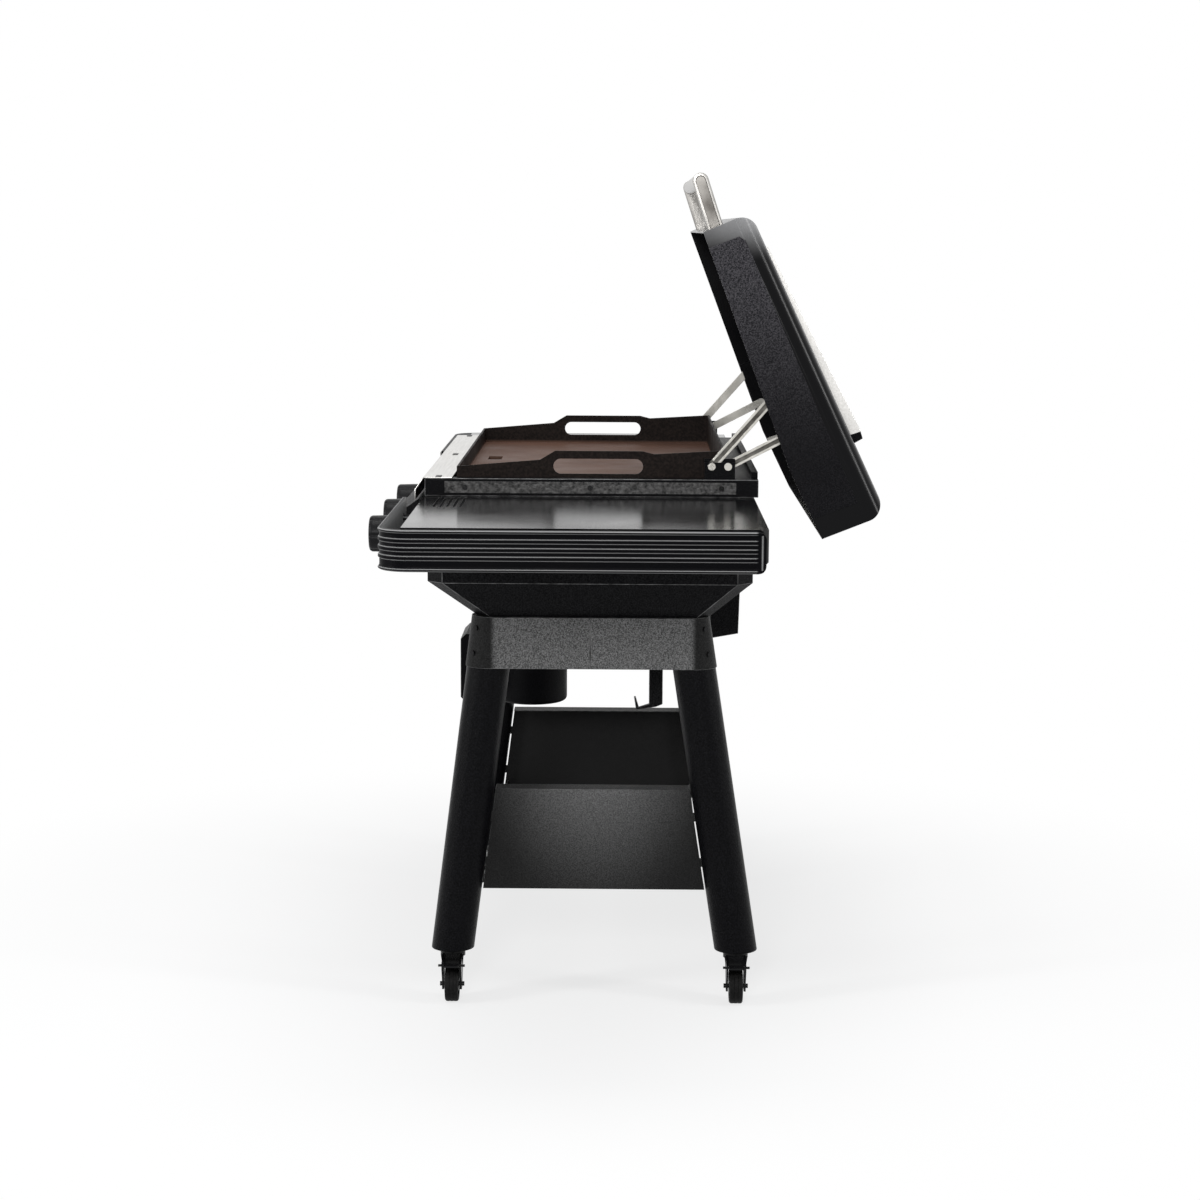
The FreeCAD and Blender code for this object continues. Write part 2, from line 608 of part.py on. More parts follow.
# Firebox: four walls with cut corners and an inward flange along the top
def firebox():
    top = "frame_bottom"
    outer = prism("firebox_outer", "XY", octagon("box_half", "box_front", "box_rear", "box_corner"),
                  "box_bottom", top)
    room = prism("firebox_room", "XY",
                 octagon("(box_half - box_sheet)", "(box_front + box_sheet)",
                         "(box_rear - box_sheet)", "box_corner"),
                 "box_bottom - 1", "frame_bottom - box_sheet")
    mouth = slab("firebox_mouth", ("-box_half + ledge_width", "box_half - ledge_width"),
                 ("box_front + ledge_width + 10", "box_rear - ledge_width - 10"),
                 ("frame_bottom - 2 * box_sheet", "frame_bottom + 1"))
    holes = [rod("firebox_venturi_%d" % place, "y", "box_front - 1", "box_sheet + 2",
                 "venturi_dia + 2 * axle_fit", ("%d * knob_pitch" % place, "burner_z"))
             for place in (-1, 0, 1)]
    walls = cut("firebox", outer, room, mouth, *holes)
    node(group("firebox_pieces", walls, *plate_rests()), "firebox_shell")


# Plate rests: four round feet between the firebox flange and the cooking plate
def plate_rests():
    feet = []
    for side in (1, -1):
        for place, y in enumerate(("griddle_front + rest_dia", "griddle_rear - rest_dia")):
            feet.append(rod("rest_%d_%d" % (side + 1, place), "z", "frame_bottom",
                            "griddle_floor - griddle_sheet - frame_bottom", "rest_dia",
                            ("%d * (box_half - ledge_width + rest_dia / 2)" % side, y)))
    return feet


firebox()


# Hopper: a tapered pan under the firebox that leads grease and air down
def hopper():
    def taper(name, inset, low, high):
        body = doc.addObject("PartDesign::Body", name)
        upper = sketch(body, "XY", octagon("(box_half - %s)" % inset, "(box_front + %s)" % inset,
                                           "(box_rear - %s)" % inset, "box_corner"), high)
        lower = sketch(body, "XY", octagon("(hopper_half - %s)" % inset,
                                           "(hopper_front + %s)" % inset,
                                           "(hopper_rear - %s)" % inset, "hopper_corner"), low)
        loft = body.newObject("PartDesign::AdditiveLoft", name + "_loft")
        loft.Profile = lower
        loft.Sections = [upper]
        loft.Ruled = True
        body.Tip = loft
        return body

    outer = taper("hopper_outer", "0", "leg_top", "box_bottom")
    inner = taper("hopper_inner", "box_sheet", "leg_top + box_sheet", "box_bottom")
    lid_cut = prism("hopper_top_cut", "XY",
                    octagon("(box_half - box_sheet)", "(box_front + box_sheet)",
                            "(box_rear - box_sheet)", "box_corner"),
                    "box_bottom - 0.01", "box_bottom + 1")
    throat = slab("hopper_throat", ("drain_x - chute_half - throat_fit",
                                    "drain_x + chute_half + throat_fit"),
                  ("neck_front - throat_fit", "neck_back + throat_fit"),
                  ("leg_top - 1", "leg_top + 2 * box_sheet"))
    node(cut("hopper", outer, inner, lid_cut, throat), "heat_hopper")


hopper()


# Top frame: a folded ring round the cooking plate
def top_frame():
    skin = slab("ring_skin", ("-frame_half", "frame_half"), ("frame_front", "frame_rear"),
                ("frame_bottom", "frame_top"))
    room = slab("ring_room", ("-frame_half + frame_sheet", "frame_half - frame_sheet"),
                ("frame_front + frame_sheet", "frame_rear - frame_sheet"),
                ("frame_bottom - 1", "frame_top - frame_sheet"))
    mouth = slab("ring_mouth", ("-griddle_half - plate_clear", "griddle_half + plate_clear"),
                 ("griddle_front - plate_clear", "griddle_rear + plate_clear"),
                 ("frame_bottom - 1", "frame_top + 1"))
    node(cut("ring", skin, room, mouth), "top_frame")


top_frame()


# Side strips: textured cover strips along the two ends of the top frame
def side_strip(side_name):
    side = SIDES[side_name]
    low_x, high_x = mirror_span(side, "frame_half", "frame_half + strip_sheet")
    mid = "(frame_bottom + frame_top) / 2"
    return slab("strip_" + side_name, (low_x, high_x), ("strip_front", "strip_rear"),
                (mid + " - strip_depth / 2", mid + " + strip_depth / 2"))


node(group("strips", side_strip("right"), side_strip("left")), "side_trim_strips")


# Rear vent: a low slotted rail along the back edge of the top frame
def rear_vent():
    front = "frame_rear - vent_depth"
    bar = slab("vent_bar", ("-frame_half + 30", "frame_half - 30"), (front, "frame_rear"),
               ("frame_top", "frame_top + vent_rise"))
    count = int(number("(frame_half - 60) / vent_pitch"))
    slots = [slab("vent_slot_%d" % place,
                  ("%d * vent_pitch - vent_slot / 2" % place,
                   "%d * vent_pitch + vent_slot / 2" % place),
                  (front + " - 1", "frame_rear - 2"),
                  ("frame_top + 3", "frame_top + vent_rise - 2"))
             for place in range(-count, count + 1)]
    node(cut("vent", bar, group("vent_slots", *slots)), "rear_vent_strip")


rear_vent()


# Cooking plate: a floor with four walls; the end walls rise into handles with long slots
def side_wall(side):
    name = "griddle_end_%s" % ("right" if side > 0 else "left")
    low = "griddle_floor - griddle_sheet"
    outline = [("griddle_front", low), ("griddle_rear", low), ("griddle_rear", "rear_wall_top"),
               ("dip_y", "dip_top"), ("hump_rear", "hump_top"), ("hump_front", "hump_top"),
               ("shoulder_y", "shoulder_top"), ("griddle_front", "front_wall_top")]
    low_x, high_x = mirror_span(side, "griddle_half - griddle_wall", "griddle_half")
    wall = prism(name, "YZ", outline, low_x, high_x)
    start, length = "%s - 1" % low_x, "griddle_wall + 2"
    half = "(slot_length - slot_height) / 2"
    middle = slab(name + "_slot", (start, "%s + %s" % (start, length)),
                  ("slot_y - " + half, "slot_y + " + half),
                  ("slot_z - slot_height / 2", "slot_z + slot_height / 2"))
    front = rod(name + "_slot_front", "x", start, length, "slot_height",
                ("slot_y - " + half, "slot_z"))
    rear = rod(name + "_slot_rear", "x", start, length, "slot_height",
               ("slot_y + " + half, "slot_z"))
    return cut(name + "_cut", wall, middle, front, rear)


def griddle():
    span = ("-griddle_half", "griddle_half")
    low = "griddle_floor - griddle_sheet"
    floor = slab("griddle_base", span, ("griddle_front", "griddle_rear"), (low, "griddle_floor"))
    front = slab("griddle_front_wall", span,
                 ("griddle_front", "griddle_front + griddle_wall"), (low, "front_wall_top"))
    rear = slab("griddle_rear_wall", span, ("griddle_rear - griddle_wall", "griddle_rear"),
                (low, "rear_wall_top"))
    whole = join("griddle_whole", floor, front, rear, side_wall(1), side_wall(-1))
    drain = slab("griddle_drain", ("drain_x - drain_length / 2", "drain_x + drain_length / 2"),
                 ("drain_y - drain_width / 2", "drain_y + drain_width / 2"),
                 (low + " - 1", "griddle_floor + 1"))
    node(cut("griddle", whole, drain), "griddle_plate")


griddle()


# Stainless ledge: folded over the front of the top frame
def front_ledge():
    back = "griddle_front - plate_clear"
    fold = "frame_front - 1"
    top = "frame_top + ledge_sheet"
    outline = [(back, "frame_top"), (fold + " - 0.6", "frame_top"),
               ("lip_y + ledge_sheet", "lip_top"), ("lip_y + ledge_sheet", "lip_bottom"),
               ("lip_y", "lip_bottom"), ("lip_y", "lip_top + 1"), (fold + " - 1.4", top),
               (back, top)]
    node(prism("ledge", "YZ", outline, "-frame_half", "frame_half"), "front_ledge")


front_ledge()


# Lid bumpers: small pads on the ledge where the closed lid comes to rest
def bumpers():
    top = "frame_top + ledge_sheet"
    pads = []
    for place in (-1, 0, 1):
        middle = "%d * bumper_x" % place
        pads.append(slab("bumper_%d" % (place + 1),
                         (middle + " - bumper_length / 2", middle + " + bumper_length / 2"),
                         ("frame_front + 18", "frame_front + 18 + bumper_width"),
                         (top, top + " + bumper_rise")))
    node(group("bumpers", *pads), "lid_bumpers")


bumpers()


# Control panel: a folded box on the front of the firebox, open at the back
def control_panel():
    def face(inset, back):
        return [(back, "panel_bottom + " + inset), (back, "panel_top - " + inset),
                ("lip_y + ledge_sheet + " + inset, "panel_top - " + inset),
                ("panel_front + " + inset, "panel_brow - 0.4 * " + inset),
                ("panel_front + " + inset, "panel_bottom + " + inset)]

    skin = prism("panel_skin", "YZ", face("0", "box_front"), "-panel_half", "panel_half")
    room = prism("panel_room", "YZ", face("panel_sheet", "box_front + 1"),
                 "-panel_half + panel_sheet", "panel_half - panel_sheet")
    holes = [rod("panel_hole_%d" % place, "y", "panel_front - 1", "panel_sheet + 2", "stem_hole",
                 ("%d * knob_pitch" % place, "knob_z")) for place in (-1, 0, 1)]
    inlet = rod("panel_inlet_hole", "z", "panel_bottom - 1", "panel_sheet + 2", "inlet_dia + 2",
                ("pipe_half", "pipe_y"))
    node(cut("panel", skin, room, inlet, *holes), "control_panel")


control_panel()


# Knobs, each on a rod that reaches back into its valve, and the round bezels behind them
def knob(label, place):
    name = "knob_" + label
    middle = "%d * knob_pitch" % place
    radius = "knob_dia / 2"
    body = turned(name + "_cap",
                  [("0", "0"), (radius + " + 1", "0"), (radius, "knob_length"),
                   ("0", "knob_length")],
                  (middle, "knob_front + knob_length", "knob_z"), Vector(1, 0, 0), "90")
    length = number("knob_length")
    eased(body, "Fillet", "knob_round",
          lambda edge: edge.Curve.TypeId == "Part::GeomCircle"
          and abs(edge.Curve.Center.z - length) < 0.01)
    flutes = []
    for turn in (0, 60, 120, 180, 240, 300):
        across = "(knob_dia / 2 + grip_width / 2 - grip_depth)"
        flutes.append(rod("%s_flute_%d" % (name, turn), "y", "knob_front - 1",
                          "knob_length - 8", "grip_width",
                          ("%s + %s * cos(%d)" % (middle, across, turn),
                           "knob_z + %s * sin(%d)" % (across, turn))))
    rod_piece = rod(name + "_rod", "y", "knob_front + knob_length - 1",
                    "valve_front + 8 - knob_front - knob_length", "stem_rod", (middle, "knob_z"))
    node(join(name + "_whole", cut(name + "_grip", body, *flutes), rod_piece), name)


for label, place in (("right", 1), ("centre", 0), ("left", -1)):
    knob(label, place)


def bezels():
    rings = []
    for place in (-1, 0, 1):
        at = ("%d * knob_pitch" % place, "panel_front", "knob_z")
        radius = "bezel_dia / 2"
        points = [("stem_hole / 2", "0"), (radius, "0"), (radius, "bezel_sheet - 2.5"),
                  (radius + " - 3", "bezel_sheet"), ("stem_hole / 2", "bezel_sheet")]
        rings.append(turned("bezel_%d" % (place + 1), points, at, Vector(1, 0, 0), "90"))
    node(group("bezels", *rings), "knob_bezels")


bezels()


# Gas manifold: a pipe along the panel, its inlet elbow, and the three valves clamped on it
def gas_line():
    pipe = rod("pipe", "x", "-pipe_half", "2 * pipe_half + inlet_dia / 2", "pipe_dia",
               ("pipe_y", "knob_z"))
    inlet = rod("inlet", "z", "knob_z - pipe_dia / 2 - inlet_drop",
                "pipe_dia / 2 + inlet_drop", "inlet_dia", ("pipe_half", "pipe_y"))
    bore = rod("inlet_bore", "z", "knob_z - pipe_dia / 2 - inlet_drop - 1", "inlet_drop",
               "inlet_dia / 2", ("pipe_half", "pipe_y"))
    mounts = []
    for place in (-1, 1):
        middle = "%d * (pipe_half - 20)" % place
        mounts.append(slab("pipe_mount_%d" % (place + 1), (middle + " - 8", middle + " + 8"),
                           ("pipe_y", "box_front"), ("knob_z - 3", "knob_z + 3")))
    line = cut("line", join("line_whole", pipe, inlet, *mounts), bore)
    valves = []
    for place in (-1, 0, 1):
        middle = "%d * knob_pitch" % place
        half = "valve_width / 2"
        body = slab("valve_body_%d" % (place + 1), (middle + " - " + half, middle + " + " + half),
                    ("valve_front", "valve_back"),
                    ("knob_z - valve_height / 2", "knob_z + valve_height / 2"))
        riser = slab("valve_riser_%d" % (place + 1), (middle + " - 7", middle + " + 7"),
                     ("valve_back - 14", "valve_back"), ("knob_z", "burner_z + 7"))
        socket = rod("valve_socket_%d" % (place + 1), "y", "valve_front - 1", "11",
                     "stem_rod + 2 * stem_fit", (middle, "knob_z"))
        pipe_room = rod("valve_room_%d" % (place + 1), "x", middle + " - 20", "40",
                        "pipe_dia + 2 * axle_fit",
                        ("pipe_y", "knob_z"))
        valves.append(cut("valve_%d" % (place + 1), join("valve_whole_%d" % (place + 1), body,
                                                         riser), socket, pipe_room))
    node(group("gas_line", line, *valves), "gas_manifold")


gas_line()


# Burners: two long tubes between a front and a rear header, fed through the front wall
def burner(place):
    middle = "%d * knob_pitch" % place
    name = "burner_%d" % (place + 1)
    span = "burner_spread + burner_tube / 2 + 4"
    half_header = "header_width / 2"
    z_span = ("burner_z - burner_tube / 2", "burner_z + burner_tube / 2")
    front = slab(name + "_front", (middle + " - (" + span + ")", middle + " + " + span),
                 ("burner_front - " + half_header, "burner_front + " + half_header), z_span)
    rear = slab(name + "_rear", (middle + " - (" + span + ")", middle + " + " + span),
                ("burner_rear - " + half_header, "burner_rear + " + half_header), z_span)
    tubes = [rod("%s_tube_%d" % (name, way + 1), "y", "burner_front",
                 "burner_rear - burner_front", "burner_tube",
                 ("%s + %d * burner_spread" % (middle, way), "burner_z")) for way in (-1, 1)]
    venturi = rod(name + "_venturi", "y", "valve_back", "burner_front - valve_back",
                  "venturi_dia", (middle, "burner_z"))
    tongue = slab(name + "_tongue", (middle + " - 12", middle + " + 12"),
                  ("burner_rear", "box_rear - box_sheet"), ("burner_z - 2", "burner_z + 2"))
    bores = [rod("%s_bore_%d" % (name, way + 1), "y", "burner_front",
                 "burner_rear - burner_front + header_width", "burner_tube - 3",
                 ("%s + %d * burner_spread" % (middle, way), "burner_z")) for way in (-1, 1)]
    return cut(name + "_open", join(name, front, rear, venturi, tongue, *tubes), *bores)


node(group("burner_set", burner(-1), burner(0), burner(1)), "burners")


# Igniters: ceramic posts that stand on the front headers
def igniters():
    posts = [rod("igniter_%d" % (place + 1), "z", "burner_z + burner_tube / 2", "igniter_rise",
                 "igniter_dia", ("%d * knob_pitch + 20" % place, "burner_front"))
             for place in (-1, 0, 1)]
    node(group("igniter_set", *posts), "burner_igniters")


igniters()


# Grease chute: a square duct from under the drain slot to above the keg
def chute():
    def side(inset):
        return [("chute_front + " + inset, "griddle_floor - griddle_sheet - chute_gap"),
                ("chute_front + " + inset, "chute_turn + " + inset),
                ("neck_front + " + inset, "neck_turn + " + inset),
                ("neck_front + " + inset, "chute_bottom"),
                ("neck_back - " + inset, "chute_bottom"),
                ("neck_back - " + inset, "neck_turn + 22 - " + inset),
                ("chute_back - " + inset, "chute_turn + 12 - " + inset),
                ("chute_back - " + inset, "griddle_floor - griddle_sheet - chute_gap")]

    outer = prism("chute_outer", "YZ", side("0"), "drain_x - chute_half", "drain_x + chute_half")
    inner = prism("chute_inner", "YZ", side("chute_sheet"), "drain_x - chute_half + chute_sheet",
                  "drain_x + chute_half - chute_sheet")
    top = slab("chute_top", ("drain_x - chute_half + chute_sheet",
                             "drain_x + chute_half - chute_sheet"),
               ("chute_front + chute_sheet", "chute_back - chute_sheet"),
               ("griddle_floor - griddle_sheet - chute_gap - 1",
                "griddle_floor - griddle_sheet"))
    low = slab("chute_low", ("drain_x - chute_half + chute_sheet",
                             "drain_x + chute_half - chute_sheet"),
               ("neck_front + chute_sheet", "neck_back - chute_sheet"),
               ("chute_bottom - 1", "chute_bottom + 1"))
    node(cut("chute", outer, inner, top, low), "grease_chute")


chute()


# Keg rails: two angles under the front cross beam that carry the keg's rim
def keg_rails():
    pieces = []
    front = "%s - 40" % leg_y("front", "leg_top")
    for side in (1, -1):
        web_at = "keg_rim / 2 + rail_gap"
        low_x, high_x = mirror_span(side, web_at, web_at + " + rail_sheet")
        low_x, high_x = "drain_x + " + low_x, "drain_x + " + high_x
        top = "leg_top - beam_depth"
        web = slab("keg_web_%d" % (side + 1), (low_x, high_x), (front, "rail_rear"),
                   ("keg_top - rim_sheet - 2 * rail_sheet", top))
        low_x, high_x = mirror_span(side, web_at + " - rail_lip", web_at + " + rail_sheet")
        lip = slab("keg_lip_%d" % (side + 1), ("drain_x + " + low_x, "drain_x + " + high_x),
                   (front, "rail_rear"),
                   ("keg_top - rim_sheet - 0.3 - rail_sheet", "keg_top - rim_sheet - 0.3"))
        pieces.append(join("keg_rail_%d" % (side + 1), web, lip))
    node(group("keg_rail_pair", *pieces), "keg_rails")


keg_rails()


# Grease keg: a round bucket with a flat rim, and a front plate on a short neck
def keg():
    radius = "keg_dia / 2"
    at = ("drain_x", "keg_y", "0")
    outer = turned("keg_outer",
                   [("0", "keg_bottom"), (radius, "keg_bottom"), (radius, "keg_top - rim_sheet"),
                    ("keg_rim / 2", "keg_top - rim_sheet"), ("keg_rim / 2", "keg_top"),
                    ("0", "keg_top")], at)
    low = number("keg_bottom")
    eased(outer, "Fillet", "keg_round",
          lambda edge: edge.Curve.TypeId == "Part::GeomCircle"
          and abs(edge.Curve.Center.z - low) < 0.01)
    hollow = rod("keg_hollow", "z", "keg_bottom + 3 * keg_wall", "keg_top - keg_bottom",
                 "keg_dia - 2 * keg_wall", ("drain_x", "keg_y"))
    node(cut("keg", outer, hollow), "grease_keg")


keg()


def keg_cover():
    plate = prism("cover_plate", "YZ",
                  [("cover_front + cover_chamfer", "cover_bottom"),
                   ("cover_front + cover_sheet", "cover_bottom"),
                   ("cover_front + cover_sheet", "cover_top"),
                   ("cover_front + cover_chamfer", "cover_top"),
                   ("cover_front", "cover_top - cover_chamfer"),
                   ("cover_front", "cover_bottom + cover_chamfer")],
                  "drain_x - cover_half", "drain_x + cover_half")
    necks = []
    for side in (1, -1):
        low_x, high_x = mirror_span(side, "neck_half", "neck_half + neck_sheet")
        necks.append(slab("neck_%d" % (side + 1), ("drain_x + " + low_x, "drain_x + " + high_x),
                          ("cover_front + 1", "keg_y"),
                          ("cover_bottom + 16", "cover_top - 30")))
    room = rod("neck_room", "z", "keg_bottom - 1", "keg_top - keg_bottom + 2", "keg_dia",
               ("drain_x", "keg_y"))
    tray = slab("cover_tray", ("drain_x - cover_half + neck_sheet / 2",
                               "drain_x + cover_half - neck_sheet / 2"),
                ("cover_front + neck_sheet / 2", "cover_front + cover_sheet + 1"),
                ("cover_bottom + cover_chamfer", "cover_top - cover_chamfer"))
    arms = join("cover_arms", *necks)
    whole = join("cover_whole", cut("cover_open", plate, tray), cut("cover_fit", arms, room))
    node(whole, "keg_front_plate")


keg_cover()


# Side shelves: a flat top with a deep folded skirt
def side_shelf(side_name):
    side = SIDES[side_name]
    name = "side_shelf_" + side_name
    low = "shelf_top - shelf_skirt"
    outline = [("shelf_front + shelf_chamfer", low), ("shelf_rear - shelf_chamfer", low),
               ("shelf_rear", low + " + shelf_chamfer"), ("shelf_rear", "shelf_top"),
               ("shelf_front", "shelf_top"), ("shelf_front", low + " + shelf_chamfer")]
    low_x, high_x = mirror_span(side, "shelf_inner", "shelf_outer")
    skin = prism(name + "_skin", "YZ", outline, low_x, high_x)
    low_x, high_x = mirror_span(side, "shelf_inner + shelf_sheet", "shelf_outer - shelf_sheet")
    room = slab(name + "_room", (low_x, high_x),
                ("shelf_front + shelf_sheet", "shelf_rear - shelf_sheet"),
                (low + " - 1", "shelf_top - shelf_sheet"))
    vents = [slab("%s_vent_%d" % (name, place), mirror_span(side, "vent_start", "vent_end"),
                  ("vent_first + %d * vent_step" % place,
                   "vent_first + %d * vent_step + vent_wide" % place),
                  ("shelf_top - 2 * shelf_sheet", "shelf_top + 1")) for place in range(5)]
    node(cut(name + "_cut", skin, room, group(name + "_vents", *vents)), name)


for side_name in SIDES:
    side_shelf(side_name)


# Shelf arms: two channels under each shelf, bolted to the firebox wall
def shelf_arms():
    arms = []
    for side in (1, -1):
        for place, y in enumerate(("box_front + arm_set", "box_rear - arm_set")):
            name = "arm_%d_%d" % (side + 1, place)
            low_x, high_x = mirror_span(side, "box_half", "shelf_outer - shelf_sheet")
            y_span = (y + " - arm_width / 2", y + " + arm_width / 2")
            top = "shelf_top - shelf_sheet"
            solid = slab(name + "_solid", (low_x, high_x), y_span, (top + " - arm_depth", top))
            low_x, high_x = mirror_span(side, "box_half + prop_sheet", "shelf_outer")
            room = slab(name + "_room", (low_x, high_x),
                        (y_span[0] + " + prop_sheet", y_span[1] + " - prop_sheet"),
                        (top + " - arm_depth - 1", top + " - prop_sheet"))
            slit_x = mirror_span(side, "shelf_inner", "shelf_inner + shelf_sheet")
            arms.append((cut(name, solid, room), slit_x, y_span, top))
    return arms


arm_pieces = shelf_arms()
node(group("arm_set", *[piece for piece, slit, y_span, top in arm_pieces]), "shelf_arms")


# The inner skirt of each shelf is notched where an arm passes through it
def notch_shelves():
    for side_name in SIDES:
        name = "side_shelf_" + side_name
        shelf = next(item for item in nodes if item.Label == name)
        nodes.remove(shelf)
        shelf.Label = name + "_plain"
        start = 0 if SIDES[side_name] > 0 else 2
        tools = []
        for place, (piece, slit, y_span, top) in enumerate(arm_pieces[start:start + 2]):
            tools.append(slab("%s_notch_%d" % (name, place), (slit[0] + " - 1", slit[1] + " + 1"),
                              y_span, (top + " - arm_depth", top)))
        node(cut(name + "_notched", shelf, *tools), name)


notch_shelves()


# Tool rails: a ribbed band round the outer and front edges of each shelf
def rail_band(name, side, back, inset):
    """A plan ring piece with a round outer corner, from the shelf's inner end to the rail's end."""
    outer_x = "rail_outer - (%s)" % inset
    front_y = "rail_front + (%s)" % inset
    body = prism(name, "XY",
                 [(signed(side, "shelf_inner"), front_y), (signed(side, outer_x), front_y),
                  (signed(side, outer_x), back), (signed(side, "shelf_inner"), back)],
                 "rail_low", "rail_high")
    corner_x = number(signed(side, outer_x))
    corner_y = number(front_y)

    def outer_corner(edge):
        middle = edge.BoundBox.Center
        near = abs(middle.x - corner_x) < 0.1 and abs(middle.y - corner_y) < 0.1
        return runs_along(edge, Vector(0, 0, 1)) and near

    return eased(body, "Fillet", "rail_corner - (%s)" % inset, outer_corner)


def tool_rail(side_name):
    side = SIDES[side_name]
    name = "tool_rail_" + side_name
    outer = rail_band(name + "_outer", side, "rail_end", "0")
    inner = rail_band(name + "_inner", side, "rail_end + 10", "rail_thick")
    doc.recompute()
    low_x, high_x = mirror_span(side, "rail_outer - rail_corner", "rail_outer + 1")
    end_round = []
    for place, (z, way) in enumerate((("rail_low", 1), ("rail_high", -1))):
        z_in = "%s + %d * rail_end_round" % (z, way)
        z_span = (z + " - 1", z_in) if way > 0 else (z_in, z + " + 1")
        block = slab("%s_end_%d" % (name, place), (low_x, high_x),
                     ("rail_end - rail_end_round", "rail_end + 1"), z_span)
        round_rod = rod("%s_round_%d" % (name, place), "x", low_x + " - 1",
                        "rail_corner + 3", "2 * rail_end_round",
                        ("rail_end - rail_end_round", z_in))
        end_round.append(cut("%s_corner_%d" % (name, place), block, round_rod))
    band = cut(name + "_band", outer, inner, *end_round)
    ribs = []
    for place in (-1, 0, 1):
        middle = "rib_mid + %d * rib_pitch" % place
        low_x, high_x = mirror_span(side, "rail_outer", "rail_outer + rib_proud")
        rib = slab("%s_rib_%d" % (name, place + 1), (low_x, high_x), ("rib_front", "rib_rear"),
                   (middle + " - rib_height / 2", middle + " + rib_height / 2"))
        low_x, high_x = mirror_span(side, "shelf_inner + 12", "rail_outer - rail_corner - 8")
        front_rib = slab("%s_front_rib_%d" % (name, place + 1), (low_x, high_x),
                         ("rail_front - rib_proud", "rail_front"),
                         (middle + " - rib_height / 2", middle + " + rib_height / 2"))
        ribs += [rib, front_rib]
    spacers = []
    shelf_face = "shelf_outer"
    back_face = "rail_outer - rail_thick"
    for place, y in enumerate(("shelf_front + 60", "(shelf_front + shelf_rear) / 2",
                               "shelf_rear - 50")):
        low_x, high_x = mirror_span(side, shelf_face, back_face)
        spacers.append(rod("%s_spacer_%d" % (name, place), "x", low_x,
                           "rail_outer - rail_thick - shelf_outer", "standoff_dia",
                           (y, "rib_mid")))
    for place, x in enumerate(("shelf_inner + 60", "shelf_outer - 80")):
        spacers.append(rod("%s_front_spacer_%d" % (name, place), "y", "rail_front + rail_thick",
                           "shelf_front - rail_front - rail_thick", "standoff_dia",
                           (signed(side, x), "rib_mid")))
    node(join(name + "_whole", band, *ribs, *spacers), name)


for side_name in SIDES:
    tool_rail(side_name)


# Tank hook: a flat bar under the rear cross beam, turned up at its foot
def tank_hook():
    half = "hook_width / 2"
    x_span = ("hook_x - hook_sheet / 2", "hook_x + hook_sheet / 2")
    top = "leg_top - beam_depth"
    tip = "hook_y - hook_reach"
    outline = [("hook_y - " + half, "hook_bottom + 6"), (tip + " + 9", "hook_bottom"),
               (tip + " + 3", "hook_bottom + hook_lip"), (tip, "hook_bottom + hook_lip - 1"),
               (tip + " + 4", "hook_bottom - 5"), (tip + " + 9", "hook_bottom - 5"),
               ("hook_y", "hook_bottom"), ("hook_y + " + half, "hook_bottom + 5"),
               ("hook_y + " + half, top + " + 20"), ("hook_y - " + half, top + " + 20")]
    bar = prism("hook_bar", "YZ", outline, x_span[0], x_span[1])
    carrier = slab("hook_carrier", ("hook_x + hook_sheet / 2", "hook_x + hook_sheet / 2 + 3"),
                   ("hook_y - " + half, "%s - beam_sheet / 2" % leg_y("rear", "leg_top")),
                   (top + " + beam_sheet", top + " + 28"))
    node(join("hook", bar, carrier), "tank_hook")


tank_hook()


# Rear bracket: a small folded box under the back slope of the hopper
def rear_bracket():
    slope = "(box_rear - hopper_rear) / (box_bottom - leg_top)"

    def wedge(inset, drop):
        return [("bracket_front + " + inset, "bracket_bottom - 4 + " + inset),
                ("bracket_back - " + inset, "bracket_bottom + 5 + " + inset),
                ("bracket_back + 4 - " + inset,
                 "leg_top + (bracket_back + 4 - %s - hopper_rear) / (%s) + %s"
                 % (inset, slope, drop)),
                ("bracket_front - 7 + " + inset,
                 "leg_top + (bracket_front - 7 + %s - hopper_rear) / (%s) + %s"
                 % (inset, slope, drop))]

    low, high = "bracket_x - bracket_half", "bracket_x + bracket_half"
    skin = prism("bracket_skin", "YZ", wedge("0", "0"), low, high)
    room = prism("bracket_room", "YZ", wedge("bracket_sheet", "6"), low + " + bracket_sheet",
                 high + " - bracket_sheet")
    trim = slab("bracket_trim", (low, high), ("bracket_front - 20", "bracket_back + 20"),
                ("bracket_bottom - 20", "box_bottom"))
    box = common("bracket_box", cut("bracket_cut", skin, room), trim)
    node(box, "rear_bracket")


rear_bracket()


# The link arms swing in two planes, one each side of the hinge brackets and the lid's lugs, so that
# the rear arms pass clear of the front pivots when the lid is closed
PLATE = ("pivot_x - hinge_sheet / 2", "pivot_x + hinge_sheet / 2")
FRONT_PLANE = (PLATE[1] + " + arm_gap", PLATE[1] + " + arm_gap + arm_sheet")
REAR_PLANE = (PLATE[0] + " - rear_gap - arm_sheet", PLATE[0] + " - rear_gap")
FRONT_HEAD = (FRONT_PLANE[1] + " + arm_gap", FRONT_PLANE[1] + " + arm_gap + bolt_rise")
CHEEK = (FRONT_PLANE[1] + " + cheek_gap", FRONT_PLANE[1] + " + cheek_gap + cheek_sheet")
CHEEK_HEAD = (CHEEK[1], CHEEK[1] + " + bolt_cap")
REAR_HEAD = (REAR_PLANE[0] + " - arm_gap - bolt_rise", REAR_PLANE[0] + " - arm_gap")


def across(name, side, span, dia, at):
    """A rod along X over a span of the right end, or over its mirror image at the left."""
    low_x, high_x = mirror_span(side, *span)
    return rod(name, "x", low_x, "(%s) - (%s)" % (high_x, low_x), dia, at)


